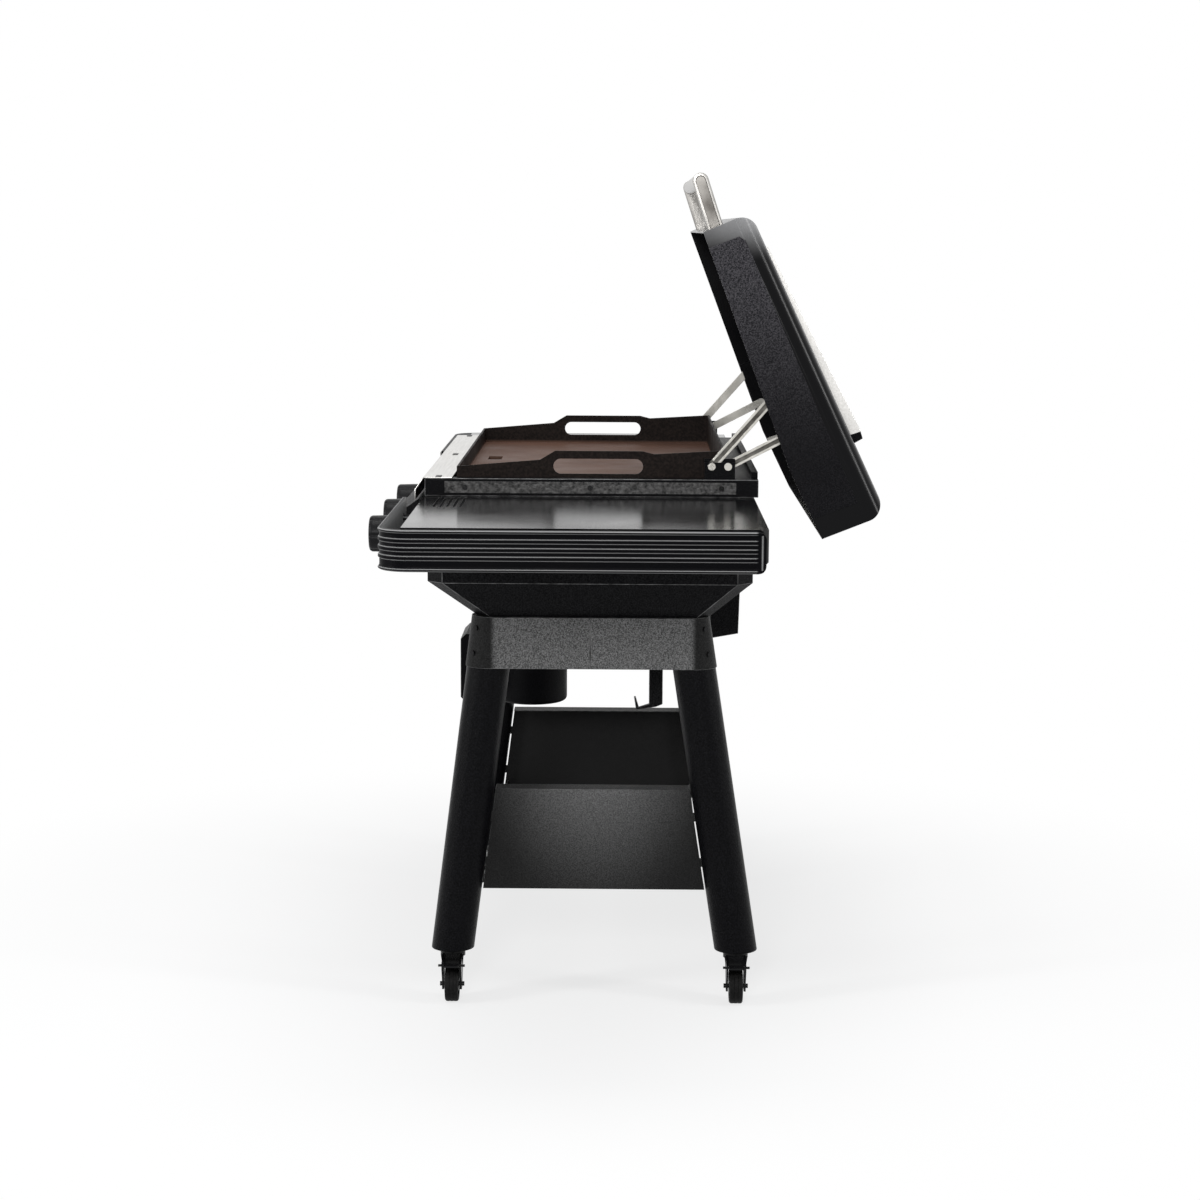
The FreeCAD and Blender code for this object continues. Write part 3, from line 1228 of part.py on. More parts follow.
# Hinge brackets: a middle plate and an outer cheek on the top frame, with two pivot bolts through
def hinge_bracket(side_name):
    side = SIDES[side_name]
    name = "hinge_" + side_name
    mid = "(front_pivot_y + rear_pivot_y) / 2"
    y_span = (mid + " - hinge_half", mid + " + hinge_half")
    plate = slab(name + "_plate", mirror_span(side, *PLATE), y_span, ("frame_top", "hinge_top"))
    cheek = slab(name + "_cheek", mirror_span(side, *CHEEK), y_span,
                 ("frame_top", "hinge_top - cheek_drop"))
    foot = slab(name + "_foot", mirror_span(side, REAR_PLANE[0], CHEEK[1]), y_span,
                ("frame_top", "frame_top + 3"))
    pieces = [plate, cheek, foot]
    for end, y, start in (("front", "front_pivot_y", PLATE[0]),
                          ("rear", "rear_pivot_y", REAR_HEAD[0])):
        at = (y, "pivot_z")
        pieces.append(across("%s_%s_pin" % (name, end), side, (start, CHEEK_HEAD[1]), "pin_dia", at))
        pieces.append(across("%s_%s_bolt" % (name, end), side, CHEEK_HEAD, "bolt_head", at))
    pieces.append(across(name + "_nut", side, REAR_HEAD, "bolt_head", ("rear_pivot_y", "pivot_z")))
    return join(name, *pieces)


node(group("hinges", hinge_bracket("right"), hinge_bracket("left")), "hinge_brackets")


# Link arms: long flat bars with round eyes; drawn along +Y and turned to the open pose
def link_arm(name, side, plane, base_y, length, angle, studded):
    x_span = mirror_span(side, *plane)
    bar = slab(name + "_bar", x_span, ("0", length), ("-arm_broad / 2", "arm_broad / 2"))
    near = across(name + "_near", side, plane, "arm_broad", ("0", "0"))
    far = across(name + "_far", side, plane, "arm_broad", (length, "0"))
    wide = (plane[0] + " - 1", plane[1] + " + 1")
    bore = "pin_dia + 2 * pin_fit"
    holes = [across(name + "_bore", side, wide, bore, ("0", "0"))]
    if not studded:
        holes.append(across(name + "_eye", side, wide, bore, (length, "0")))
    pieces = [cut(name + "_drilled", join(name + "_whole", bar, near, far), *holes)]
    ridge_x = mirror_span(side, plane[1], plane[1] + " + ridge_rise")
    ridge_y = ("0.6 * arm_broad", length + " - 0.6 * arm_broad")
    for place, z_span in enumerate((("-arm_broad / 2", "-arm_broad / 2 + ridge_width"),
                                    ("arm_broad / 2 - ridge_width", "arm_broad / 2"))):
        pieces.append(slab("%s_ridge_%d" % (name, place), ridge_x, ridge_y, z_span))
    if studded:
        pieces.append(across(name + "_stud", side, (plane[0], PLATE[1]), "pin_dia", (length, "0")))
    return put(join(name, *pieces), ("0", base_y, "pivot_z"), Vector(1, 0, 0), angle)


node(group("front_arms", *[link_arm("front_arm_%d" % (side + 1), side, FRONT_PLANE,
                                    "front_pivot_y", "front_arm", "front_open", False)
                           for side in (1, -1)]), "front_link_arms")
node(group("rear_arms", *[link_arm("rear_arm_%d" % (side + 1), side, REAR_PLANE,
                                   "rear_pivot_y", "rear_arm", "rear_open", True)
                          for side in (1, -1)]), "rear_link_arms")


# Lid pieces are drawn closed, with Y along s and Z up from the rim, then turned open
LID_Y = ("front_pivot_y + front_arm * cos(front_open)"
         " - lid_pivot_s * cos(lid_open) - lid_pivot_up * sin(lid_open)")
LID_Z = ("pivot_z + front_arm * sin(front_open)"
         " + lid_pivot_s * sin(lid_open) - lid_pivot_up * cos(lid_open)")


def on_lid(item, label):
    put(item, ("0", LID_Y, LID_Z), Vector(1, 0, 0), "-lid_open")
    return node(item, label)


TOP_SLOPE = "((lid_rear_up - lid_front_up) / (lid_top_rear - lid_top_front))"


def top_up(along):
    """Height of the lid's top skin at a place along s."""
    return "(lid_front_up + %s * (%s - lid_top_front))" % (TOP_SLOPE, along)


def lid_outline(inset):
    return [("0 + " + inset, "-1 * (%s) / 2" % inset),
            ("lid_kink", "-1 * (%s) / 2" % inset),
            ("lid_length - " + inset, "lid_kink_up - (%s) / 2" % inset),
            ("lid_length - 2 - " + inset, "%s - %s" % (top_up("(lid_length - 2)"), inset)),
            ("-front_bulge + " + inset, "%s - %s" % (top_up("-front_bulge"), inset))]


def lid_block(name, inset, roll):
    body = prism(name, "YZ", lid_outline(inset), "-lid_half + (%s)" % inset,
                 "lid_half - (%s)" % inset)
    doc.recompute()
    low = number("lid_kink_up + 2")
    middle_up = number("lid_front_up / 2")

    def top_edge(edge):
        box = edge.BoundBox
        return box.ZMax > middle_up and (box.ZMin > middle_up)

    return eased(body, "Fillet", roll, top_edge)


def lid_shell():
    outer = lid_block("lid_outer", "0", "lid_roll")
    inner = lid_block("lid_inner", "lid_sheet", "lid_roll_inner")
    on_lid(cut("lid", outer, inner), "lid_shell")


lid_shell()


# Lid side panels: textured cover plates let into the two ends of the lid
def lid_sides():
    panels = []
    outline = [("side_front", "side_low"), ("lid_kink", "side_low"),
               ("side_rear", "side_low + lid_kink_up * 0.7"), ("side_rear", "side_rear_up"),
               ("side_front + 10", "side_front_up"), ("side_front", "side_front_up - 8")]
    for side in (1, -1):
        low_x, high_x = mirror_span(side, "lid_half", "lid_half + side_sheet")
        panels.append(prism("lid_side_%d" % (side + 1), "YZ", outline, low_x, high_x))
    on_lid(group("lid_side_pair", *panels), "lid_side_panels")


lid_sides()


# Lid top panel: a raised stainless sheet with a dark rear cap
def lid_top():
    joint = "(top_rear - top_cap)"
    outline = [("top_front", "%s + top_seat" % top_up("top_front")),
               (joint, "%s + top_seat" % top_up(joint)),
               (joint, "%s + top_rise_rear" % top_up(joint)),
               ("top_front", "%s + top_rise_front" % top_up("top_front"))]
    skin = prism("lid_top", "YZ", outline, "-top_half", "top_half")
    under = [("top_front + 4 * top_sheet", "%s" % top_up("top_front")),
             (joint + " - top_sheet", top_up(joint)),
             (joint + " - top_sheet", "%s + top_rise_rear - top_sheet" % top_up(joint)),
             ("top_front + 4 * top_sheet", "%s + top_rise_front - top_sheet" % top_up("top_front"))]
    room = prism("lid_top_room", "YZ", under, "-top_half + top_sheet", "top_half - top_sheet")
    panel = cut("lid_top_open", skin, room)
    cap = [(joint, "%s + top_seat" % top_up(joint)),
           ("top_rear", "%s + top_seat" % top_up("top_rear")),
           ("top_rear - 3", "%s + top_rise_rear - 3" % top_up("top_rear")),
           (joint, "%s + top_rise_rear - 1" % top_up(joint))]
    end = prism("lid_cap", "YZ", cap, "-top_half", "top_half")
    on_lid(group("lid_top_pieces", panel, end), "lid_top_panel")


lid_top()


# Lid handle: a round bar between two curved end brackets on the lid's front face
def lid_handle():
    bar = rod("handle_bar", "x", "-handle_half + handle_sheet", "2 * handle_half - 2 * handle_sheet",
              "handle_dia", ("handle_s", "handle_up"))
    brackets = []
    for side in (1, -1):
        low_x, high_x = mirror_span(side, "handle_half - handle_sheet", "handle_half")
        lean = "-front_bulge * %s / " + top_up("-front_bulge") + " - top_seat"
        bow = [(34, 22), (12, 24), (-4, 20), (-14, 12), (-16, 0), (-12, -10), (-2, -14),
               (12, -10), (30, -6)]
        face = [(lean % "handle_foot_low", "handle_foot_low"),
                (lean % "handle_foot_high", "handle_foot_high")]
        face += [("handle_s + %d * handle_dia / 28" % along, "handle_up + %d * handle_dia / 28" % rise)
                 for along, rise in bow]
        arm = prism("handle_arm_%d" % (side + 1), "YZ", face, low_x, high_x)
        eye = rod("handle_eye_%d" % (side + 1), "x", low_x, "handle_sheet", "handle_dia",
                  ("handle_s", "handle_up"))
        brackets.append(join("handle_bracket_%d" % (side + 1), arm, eye))
    on_lid(group("handle_pieces", bar, *brackets), "lid_handle")


lid_handle()


# Lid lugs: plates inside the lid's ends that the arms hang from; the rear eye is a slot
def lid_lugs():
    pieces = []
    front, rear = "lid_pivot_s - 16", "lid_slot_s + 18"
    for side in (1, -1):
        name = "lug_%d" % (side + 1)
        outline = [(front, "2"), (rear, "2"), (rear, "lid_slot_up + 20"),
                   (front, "lid_pivot_up + 14")]
        plate = prism(name + "_plate", "YZ", outline, *mirror_span(side, *PLATE))
        wing_x = mirror_span(side, PLATE[0], "lid_half - lid_sheet - top_seat")
        feet = [slab(name + "_foot", wing_x, (front, front + " + 5"), ("4", "24")),
                slab(name + "_flange", wing_x, (rear + " - 28", rear),
                     ("lid_slot_up + 16", "lid_slot_up + 20"))]
        wide = (PLATE[0] + " - 1", PLATE[1] + " + 1")
        slot_half = "(lid_slot_length - lid_slot_width) / 2"
        slot = slab(name + "_slot", mirror_span(side, *wide),
                    ("lid_slot_s - lid_slot_width / 2", "lid_slot_s + lid_slot_width / 2"),
                    ("lid_slot_up - " + slot_half, "lid_slot_up + " + slot_half))
        ends = [across("%s_slot_%d" % (name, way + 1), side, wide, "lid_slot_width",
                       ("lid_slot_s", "lid_slot_up + %d * %s" % (way, slot_half)))
                for way in (-1, 1)]
        at = ("lid_pivot_s", "lid_pivot_up")
        pin = across(name + "_pin", side, (PLATE[0], FRONT_HEAD[1]), "pin_dia", at)
        head = across(name + "_head", side, FRONT_HEAD, "bolt_head", at)
        lug = cut(name, join(name + "_whole", plate, *feet), slot, *ends)
        pieces.append(join(name + "_pinned", lug, pin, head))
    on_lid(group("lug_pair", *pieces, *lid_stops()), "lid_lugs")


# Lid stops: small stainless tabs inside the rear of the rim
def lid_stops():
    tabs = []
    for side in (1, -1):
        low_x, high_x = mirror_span(side, "lid_half - lid_sheet - top_seat - stop_sheet",
                                    "lid_half - lid_sheet - top_seat")
        tabs.append(slab("stop_%d" % (side + 1), (low_x, high_x),
                         ("stop_s - stop_width / 2", "stop_s + stop_width / 2"), ("3", "26")))
    return tabs


lid_lugs()


# Screws: the visible heads on the beams and on the side strips
def frame_screws():
    heads = []
    for side in (1, -1):
        for place, y in enumerate(("strip_front + 35", "(strip_front + strip_rear) / 2",
                                   "strip_rear - 25")):
            low_x, high_x = mirror_span(side, "frame_half + strip_sheet",
                                        "frame_half + strip_sheet + screw_head")
            heads.append(rod("strip_screw_%d_%d" % (side + 1, place), "x", low_x, "screw_head",
                             "screw_dia", (y, "(frame_bottom + frame_top) / 2")))
        for end, way in (("front", -1), ("rear", 1)):
            for place, drop in enumerate(("20", "64")):
                height = "(leg_top - %s)" % drop
                reach = "(leg_dia / 2 + socket_fit + beam_sheet)"
                name = "beam_screw_%s_%d_%d" % (end, side + 1, place)
                head = doc.addObject("Part::Cylinder", name)
                bind(head, "Radius", "screw_dia / 2")
                bind(head, "Height", "screw_head + 1")
                at = ("%d * (leg_x + %s * cos(45))" % (side, reach),
                      "%s + %d * %s * sin(45)" % (leg_y(end, height), way, reach), height)
                direction = Vector(side, way, 0)
                head.Placement = Placement(Vector(0, 0, 0), Rotation(Vector(0, 0, 1), direction))
                for letter, text in zip("xyz", at):
                    bind(head, "Placement.Base." + letter, text)
                ring = leg_rod(name + "_room", side, end,
                               "leg_dia + 2 * socket_fit + 2 * beam_sheet + 2 * seat_gap")
                heads.append(cut(name + "_cut", head, ring))
    node(group("screws", *heads), "frame_screws")


frame_screws()


# Check every object, then write one file for each node
doc.recompute()
failed = [item.Name for item in doc.Objects if "Invalid" in item.State or "Error" in item.State]
if failed:
    raise RuntimeError("failed objects: " + " ".join(failed))
labels = [item.Label for item in nodes]
if len(set(labels)) != len(labels) or len(labels) > 60:
    raise RuntimeError("labels repeat or are too many: %d" % len(labels))
for item in nodes:
    shape = item.Shape
    if shape.isNull() or not shape.isValid() or not shape.Solids:
        raise RuntimeError("bad shape: " + item.Label)
for item in nodes:
    item.Shape.exportStep("parts/%s.step" % item.Label)
print("nodes", len(nodes), "solids", sum(len(item.Shape.Solids) for item in nodes))
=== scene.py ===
# %% [markdown]
# # An outdoor gas griddle station
# The station stands on four leaning legs with casters. A tapered hopper hangs under the firebox, a
# shelf sticks out at each end, and the lid is open on its link arms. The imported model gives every
# solid piece in metres, with X along the station, Y towards the rear and Z up. This lesson gives
# those pieces their finishes. It rounds the edges of the folded sheet, the screws and the bumpers,
# and works out anew the pieces whose curves are too plain as solids: the ribbed rails, the handle,
# the knobs and the wheels.

# %% Load the model
import json
import math
import bpy
import bmesh
import numpy as np
from mathutils import Matrix, Vector

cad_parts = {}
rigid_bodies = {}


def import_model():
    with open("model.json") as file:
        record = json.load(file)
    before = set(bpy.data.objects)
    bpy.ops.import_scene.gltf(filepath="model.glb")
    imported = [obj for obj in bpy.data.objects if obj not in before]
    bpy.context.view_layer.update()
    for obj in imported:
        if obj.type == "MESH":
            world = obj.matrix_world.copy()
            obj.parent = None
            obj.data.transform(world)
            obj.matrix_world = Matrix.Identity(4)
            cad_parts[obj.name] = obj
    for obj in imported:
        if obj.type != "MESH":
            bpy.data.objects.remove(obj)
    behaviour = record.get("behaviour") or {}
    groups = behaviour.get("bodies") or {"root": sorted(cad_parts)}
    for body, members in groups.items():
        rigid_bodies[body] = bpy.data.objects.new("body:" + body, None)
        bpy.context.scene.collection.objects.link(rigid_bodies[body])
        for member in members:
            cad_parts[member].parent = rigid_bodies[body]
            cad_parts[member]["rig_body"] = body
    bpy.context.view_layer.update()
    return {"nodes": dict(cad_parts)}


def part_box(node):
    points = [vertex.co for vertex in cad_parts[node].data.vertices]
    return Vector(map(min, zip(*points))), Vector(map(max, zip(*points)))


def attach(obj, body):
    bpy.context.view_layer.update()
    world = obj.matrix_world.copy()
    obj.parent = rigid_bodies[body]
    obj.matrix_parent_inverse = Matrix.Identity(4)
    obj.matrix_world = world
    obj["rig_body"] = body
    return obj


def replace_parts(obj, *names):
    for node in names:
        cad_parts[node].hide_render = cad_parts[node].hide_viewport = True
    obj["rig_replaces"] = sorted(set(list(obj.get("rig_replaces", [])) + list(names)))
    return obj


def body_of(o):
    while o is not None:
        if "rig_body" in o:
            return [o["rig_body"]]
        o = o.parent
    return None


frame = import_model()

nodes = frame["nodes"]

# %% [markdown]
# ## Camera
# The photograph looks at the right-hand end from a little over four metres away, from slightly
# above. The camera is turned about three axes: half a degree aside, eight degrees down, and a third
# of a degree of roll. A long lens keeps the near shelf and the far one close to the same size.

# %% Camera
SENSOR = 36.0
FOCAL_PIXELS = 2542.5934
FRAME_PIXELS = 1200
CAMERA_PLACE = (4.770, 0.054, 1.3565)
CAMERA_DEGREES = (0.56189813, 8.31607752, 0.30439579)
yaw, pitch, roll = (math.radians(degrees) for degrees in CAMERA_DEGREES)
forward = Vector((-math.cos(pitch) * math.cos(yaw), -math.cos(pitch) * math.sin(yaw),
                  -math.sin(pitch)))
level_right = Vector((-math.sin(yaw), math.cos(yaw), 0.0))
level_up = level_right.cross(forward)
right = level_right * math.cos(roll) + level_up * math.sin(roll)
up = level_up * math.cos(roll) - level_right * math.sin(roll)

lens = bpy.data.cameras.new("camera")
lens.sensor_width = SENSOR
lens.lens = FOCAL_PIXELS / FRAME_PIXELS * SENSOR
camera = bpy.data.objects.new("camera", lens)
bpy.context.scene.collection.objects.link(camera)
turn = Matrix((right, up, -forward)).transposed().to_4x4()
camera.matrix_world = Matrix.Translation(CAMERA_PLACE) @ turn
bpy.context.scene.camera = camera
print("lens", round(lens.lens, 2), "mm")

# %% [markdown]
# ## Light
# A product photograph has a white surround and large soft lamps. The world is white where the
# camera, a mirror or glass sees it, and softer as a light. Long lamps stand at both sides, a broad
# one hangs overhead, and one behind the camera lights the near end.

# %% Rays that see white
def seen_share(tree):
    """One for camera, glossy and transmission rays, nought for all others: the three are added."""
    path = tree.nodes.new("ShaderNodeLightPath")
    first = tree.nodes.new("ShaderNodeMath")
    second = tree.nodes.new("ShaderNodeMath")
    second.use_clamp = True
    tree.links.new(path.outputs["Is Camera Ray"], first.inputs[0])
    tree.links.new(path.outputs["Is Glossy Ray"], first.inputs[1])
    tree.links.new(first.outputs[0], second.inputs[0])
    tree.links.new(path.outputs["Is Transmission Ray"], second.inputs[1])
    return second.outputs[0]


# %% World and lamps
def white_world(strength):
    """A white surround for camera, mirror and glass rays, and a weaker one for all other light."""
    world = bpy.data.worlds.new("surround")
    world.use_nodes = True
    tree = world.node_tree
    tree.nodes.clear()
    seen = tree.nodes.new("ShaderNodeBackground")
    seen.inputs["Color"].default_value = (1, 1, 1, 1)
    soft = tree.nodes.new("ShaderNodeBackground")
    soft.inputs["Color"].default_value = (0.95, 0.97, 1, 1)
    soft.inputs["Strength"].default_value = strength
    mix = tree.nodes.new("ShaderNodeMixShader")
    out = tree.nodes.new("ShaderNodeOutputWorld")
    tree.links.new(seen_share(tree), mix.inputs[0])
    tree.links.new(soft.outputs[0], mix.inputs[1])
    tree.links.new(seen.outputs[0], mix.inputs[2])
    tree.links.new(mix.outputs[0], out.inputs["Surface"])
    bpy.context.scene.world = world


def lamp(name, place, aim, size, power):
    """A rectangular soft lamp at a place, turned to face its aim."""
    data = bpy.data.lights.new(name, "AREA")
    data.shape = "RECTANGLE"
    data.size, data.size_y = size
    data.energy = power
    item = bpy.data.objects.new(name, data)
    bpy.context.scene.collection.objects.link(item)
    facing = (Vector(aim) - Vector(place)).to_track_quat("-Z", "Y")
    item.matrix_world = Matrix.Translation(place) @ facing.to_matrix().to_4x4()


SOFT_LIGHT = 0.32
white_world(SOFT_LIGHT)
lamp("overhead", (0.5, 0.1, 3.5), (0, 0, 0.7), (2.0, 1.2), 52)
lamp("cook_side", (1.7, -3.2, 1.7), (0, 0, 0.6), (0.45, 2.2), 58)
lamp("rear_side", (1.5, 3.4, 2.0), (0, 0, 0.7), (0.45, 2.2), 50)
lamp("near_end", (5.2, -0.5, 2.3), (0.4, 0, 0.5), (1.0, 0.8), 95)

# %% [markdown]
# ## Floor
# A wide pale floor catches the soft shadow under the casters. It is a matt sheet, far larger than
# the view. The camera sees it fade to plain white with distance from the station, so that no edge
# or horizon shows in any view.

# %% Floor
def floor_sheet(half):
    """A flat square, x and y both running from minus half to half, at height zero."""
    corners = [(-half, -half, 0), (half, -half, 0), (half, half, 0), (-half, half, 0)]
    mesh = bpy.data.meshes.new("floor")
    mesh.from_pydata(corners, [], [(0, 1, 2, 3)])
    item = bpy.data.objects.new("floor", mesh)
    bpy.context.scene.collection.objects.link(item)
    return item


FADE_START, FADE_END = 0.5, 1.7
WHITE_AT_START = 0.72
floor = floor_sheet(30.0)
paper = bpy.data.materials.new("pale_paper")
paper.use_nodes = True
tree = paper.node_tree
shader = tree.nodes["Principled BSDF"]
shader.inputs["Base Color"].default_value = (0.86, 0.86, 0.86, 1)
shader.inputs["Roughness"].default_value = 0.9
shader.inputs["Specular IOR Level"].default_value = 0.0
glow = tree.nodes.new("ShaderNodeEmission")
glow.inputs["Color"].default_value = (1, 1, 1, 1)
blend = tree.nodes.new("ShaderNodeMixShader")
place = tree.nodes.new("ShaderNodeTexCoord")
reach = tree.nodes.new("ShaderNodeVectorMath")
reach.operation = "LENGTH"
fade = tree.nodes.new("ShaderNodeMapRange")
fade.interpolation_type = "SMOOTHSTEP"
fade.inputs["From Min"].default_value = FADE_START
fade.inputs["From Max"].default_value = FADE_END
fade.inputs["To Min"].default_value = WHITE_AT_START
share = tree.nodes.new("ShaderNodeMath")
share.operation = "MULTIPLY"
tree.links.new(place.outputs["Object"], reach.inputs[0])
tree.links.new(reach.outputs["Value"], fade.inputs["Value"])
tree.links.new(seen_share(tree), share.inputs[0])
tree.links.new(fade.outputs["Result"], share.inputs[1])
tree.links.new(share.outputs[0], blend.inputs[0])
tree.links.new(shader.outputs[0], blend.inputs[1])
tree.links.new(glow.outputs[0], blend.inputs[2])
tree.links.new(blend.outputs[0], tree.nodes["Material Output"].inputs["Surface"])
floor.data.materials.append(paper)
bpy.context.scene.view_settings.view_transform = "Standard"
print("floor laid")

# %% [markdown]
# ## Finishes
# Almost everything is black, so the finishes differ in gloss and in grain, not in colour. Every
# finish is one small graph on Object coordinates, which stay with the piece as it moves. A fine
# noise raises the grain and speckles the colour, as light caught on the pimples does. A broad noise
# varies the gloss a little, as hands and oil do.

# %% A finish of two noises
CLOUD_LOW, CLOUD_HIGH = 0.3, 0.7


def finish(name, dark, pale, rough, grain, height, metal=0.0, stretch=(1, 1, 1), broad=9.0,
           specular=0.25, crisp=0.5, speckle=True):
    """A finish whose colour runs from dark to pale with the grain, and roughness with the cloud.

    The grain is a noise in waves a metre, with bumps of the given height in metres. Crisp, from
    nought to one, narrows the step from dark to pale. Stretch thins the grain along an axis,
    which turns its spots into brush lines. Without speckle the colour follows the cloud instead.
    """
    material = bpy.data.materials.new(name)
    material.use_nodes = True
    tree = material.node_tree
    shader = tree.nodes["Principled BSDF"]
    shader.inputs["Metallic"].default_value = metal
    shader.inputs["Specular IOR Level"].default_value = specular
    place = tree.nodes.new("ShaderNodeTexCoord")
    scaled = tree.nodes.new("ShaderNodeMapping")
    scaled.inputs["Scale"].default_value = stretch
    wide = tree.nodes.new("ShaderNodeTexNoise")
    wide.inputs["Scale"].default_value = broad
    wide.inputs["Detail"].default_value = 5
    fine = tree.nodes.new("ShaderNodeTexNoise")
    fine.inputs["Scale"].default_value = grain
    fine.inputs["Detail"].default_value = 2
    step = tree.nodes.new("ShaderNodeMapRange")
    step.inputs["From Min"].default_value = 0.5 - 0.3 * (1 - crisp)
    step.inputs["From Max"].default_value = 0.6 + 0.15 * (1 - crisp)
    colour = tree.nodes.new("ShaderNodeMix")
    colour.data_type = "RGBA"
    colour.inputs[6].default_value = (*dark, 1)
    colour.inputs[7].default_value = (*pale, 1)
    gloss = tree.nodes.new("ShaderNodeMapRange")
    gloss.inputs["From Min"].default_value = CLOUD_LOW
    gloss.inputs["From Max"].default_value = CLOUD_HIGH
    gloss.inputs["To Min"].default_value = rough[0]
    gloss.inputs["To Max"].default_value = rough[1]
    bump = tree.nodes.new("ShaderNodeBump")
    bump.inputs["Distance"].default_value = height
    link = tree.links.new
    link(place.outputs["Object"], scaled.inputs["Vector"])
    link(place.outputs["Object"], wide.inputs["Vector"])
    link(scaled.outputs["Vector"], fine.inputs["Vector"])
    link((fine if speckle else wide).outputs["Fac"], step.inputs["Value"])
    link(step.outputs["Result"], colour.inputs[0])
    link(wide.outputs["Fac"], gloss.inputs["Value"])
    link(colour.outputs[2], shader.inputs["Base Color"])
    link(gloss.outputs["Result"], shader.inputs["Roughness"])
    link(fine.outputs["Fac"], bump.inputs["Height"])
    link(bump.outputs["Normal"], shader.inputs["Normal"])
    return material


# %% [markdown]
# ## Black finishes
# The powder coat on the folded sheet is matt, with pimples about two millimetres apart that catch
# the light. The legs' coat is shallower and a little shinier, and the top frame, the brackets and
# the rails have a finer grain. The shelves and the lid wear smooth enamel, and the knobs, bumpers
# and pedals are moulded plastic. The reflections are kept weak on the matt coats and on the lid,
# because a white room would turn them grey, and strong on the shelves. The end sheets and beams,
# the lid's textured ends and its enamel start out pale. That pale is a painted highlight, which
# the next step keeps only near their middles and darkens elsewhere.

# %% Powder coats and enamels
powder_coat = finish("powder_coat", (0.0008, 0.0008, 0.0011), (0.014, 0.014, 0.015), (0.36, 0.48),
                     520, 0.0012, crisp=0.6, specular=0.04)
# The pale colour of the end sheets and beams is a painted highlight, kept in their middles below.
sheet_coat = finish("sheet_coat", (0.062, 0.062, 0.062), (0.165, 0.165, 0.165), (0.36, 0.48),
                    480, 0.0012, crisp=0.4, specular=0.06)
beam_coat = finish("beam_coat", (0.036, 0.036, 0.036), (0.17, 0.17, 0.17), (0.36, 0.48),
                    480, 0.0012, crisp=0.5, specular=0.06)
fine_coat = finish("fine_coat", (0.001, 0.001, 0.0013), (0.004, 0.004, 0.005), (0.3, 0.42),
                   620, 0.0007, specular=0.04)
strip_coat = finish("strip_coat", (0.004, 0.004, 0.004), (0.085, 0.083, 0.082), (0.3, 0.5),
                    150, 0.0016, crisp=0.3, specular=0.2)
leg_coat = finish("leg_coat", (0.0006, 0.0006, 0.0009), (0.005, 0.005, 0.006), (0.26, 0.36), 420,
                  0.0008, crisp=0.6, specular=0.055)
shelf_enamel = finish("shelf_enamel", (0.001, 0.001, 0.0012), (0.003, 0.003, 0.0035), (0.13, 0.19),
                      70, 0.00001, specular=0.5, speckle=False)
# The pale colours of the lid's enamel and its textured ends are a painted highlight, kept near the
# top.
lid_enamel = finish("lid_enamel", (0.34, 0.34, 0.345), (0.52, 0.52, 0.525), (0.17, 0.23),
                    90, 0.00003, specular=0.12, speckle=False)
lid_texture = finish("lid_texture", (0.010, 0.010, 0.012), (0.075, 0.072, 0.079), (0.4, 0.5),
                     540, 0.0012, crisp=0.6, specular=0.05)
moulded_plastic = finish("moulded_plastic", (0.0015, 0.0015, 0.0018), (0.005, 0.005, 0.006),
                         (0.30, 0.40), 900, 0.0002, specular=0.14)
black_steel = finish("black_steel", (0.001, 0.001, 0.001), (0.004, 0.004, 0.005), (0.24, 0.36),
                     300, 0.0002, specular=0.16, speckle=False)
tyre_rubber = finish("tyre_rubber", (0.002, 0.002, 0.002), (0.007, 0.0065, 0.0065), (0.55, 0.75),
                     260, 0.0003, specular=0.10)
print("black finishes", len(bpy.data.materials) - 1)

# %% [markdown]
# ## Painted highlights on the sheet
# A large matt sheet is never one even black. The middle of each end sheet is painted pale as a
# broad highlight and sinks to black towards its borders, and the lid's ends are painted paler
# towards the handle as a highlight on their gloss. The finish above is kept near a middle point and
# mixed to a dark colour with the distance from it. The distance is stretched along each axis, and
# only the outer side of the sheet takes the painted highlight.

# %% A painted highlight in the middle
NEAR_BLACK = (0.001, 0.001, 0.001)
COOL_BLACK = (0.001, 0.001, 0.0015)
INNER_SIDE = (0.014, 0.014, 0.014)
ANY_OUTWARD = 0.05


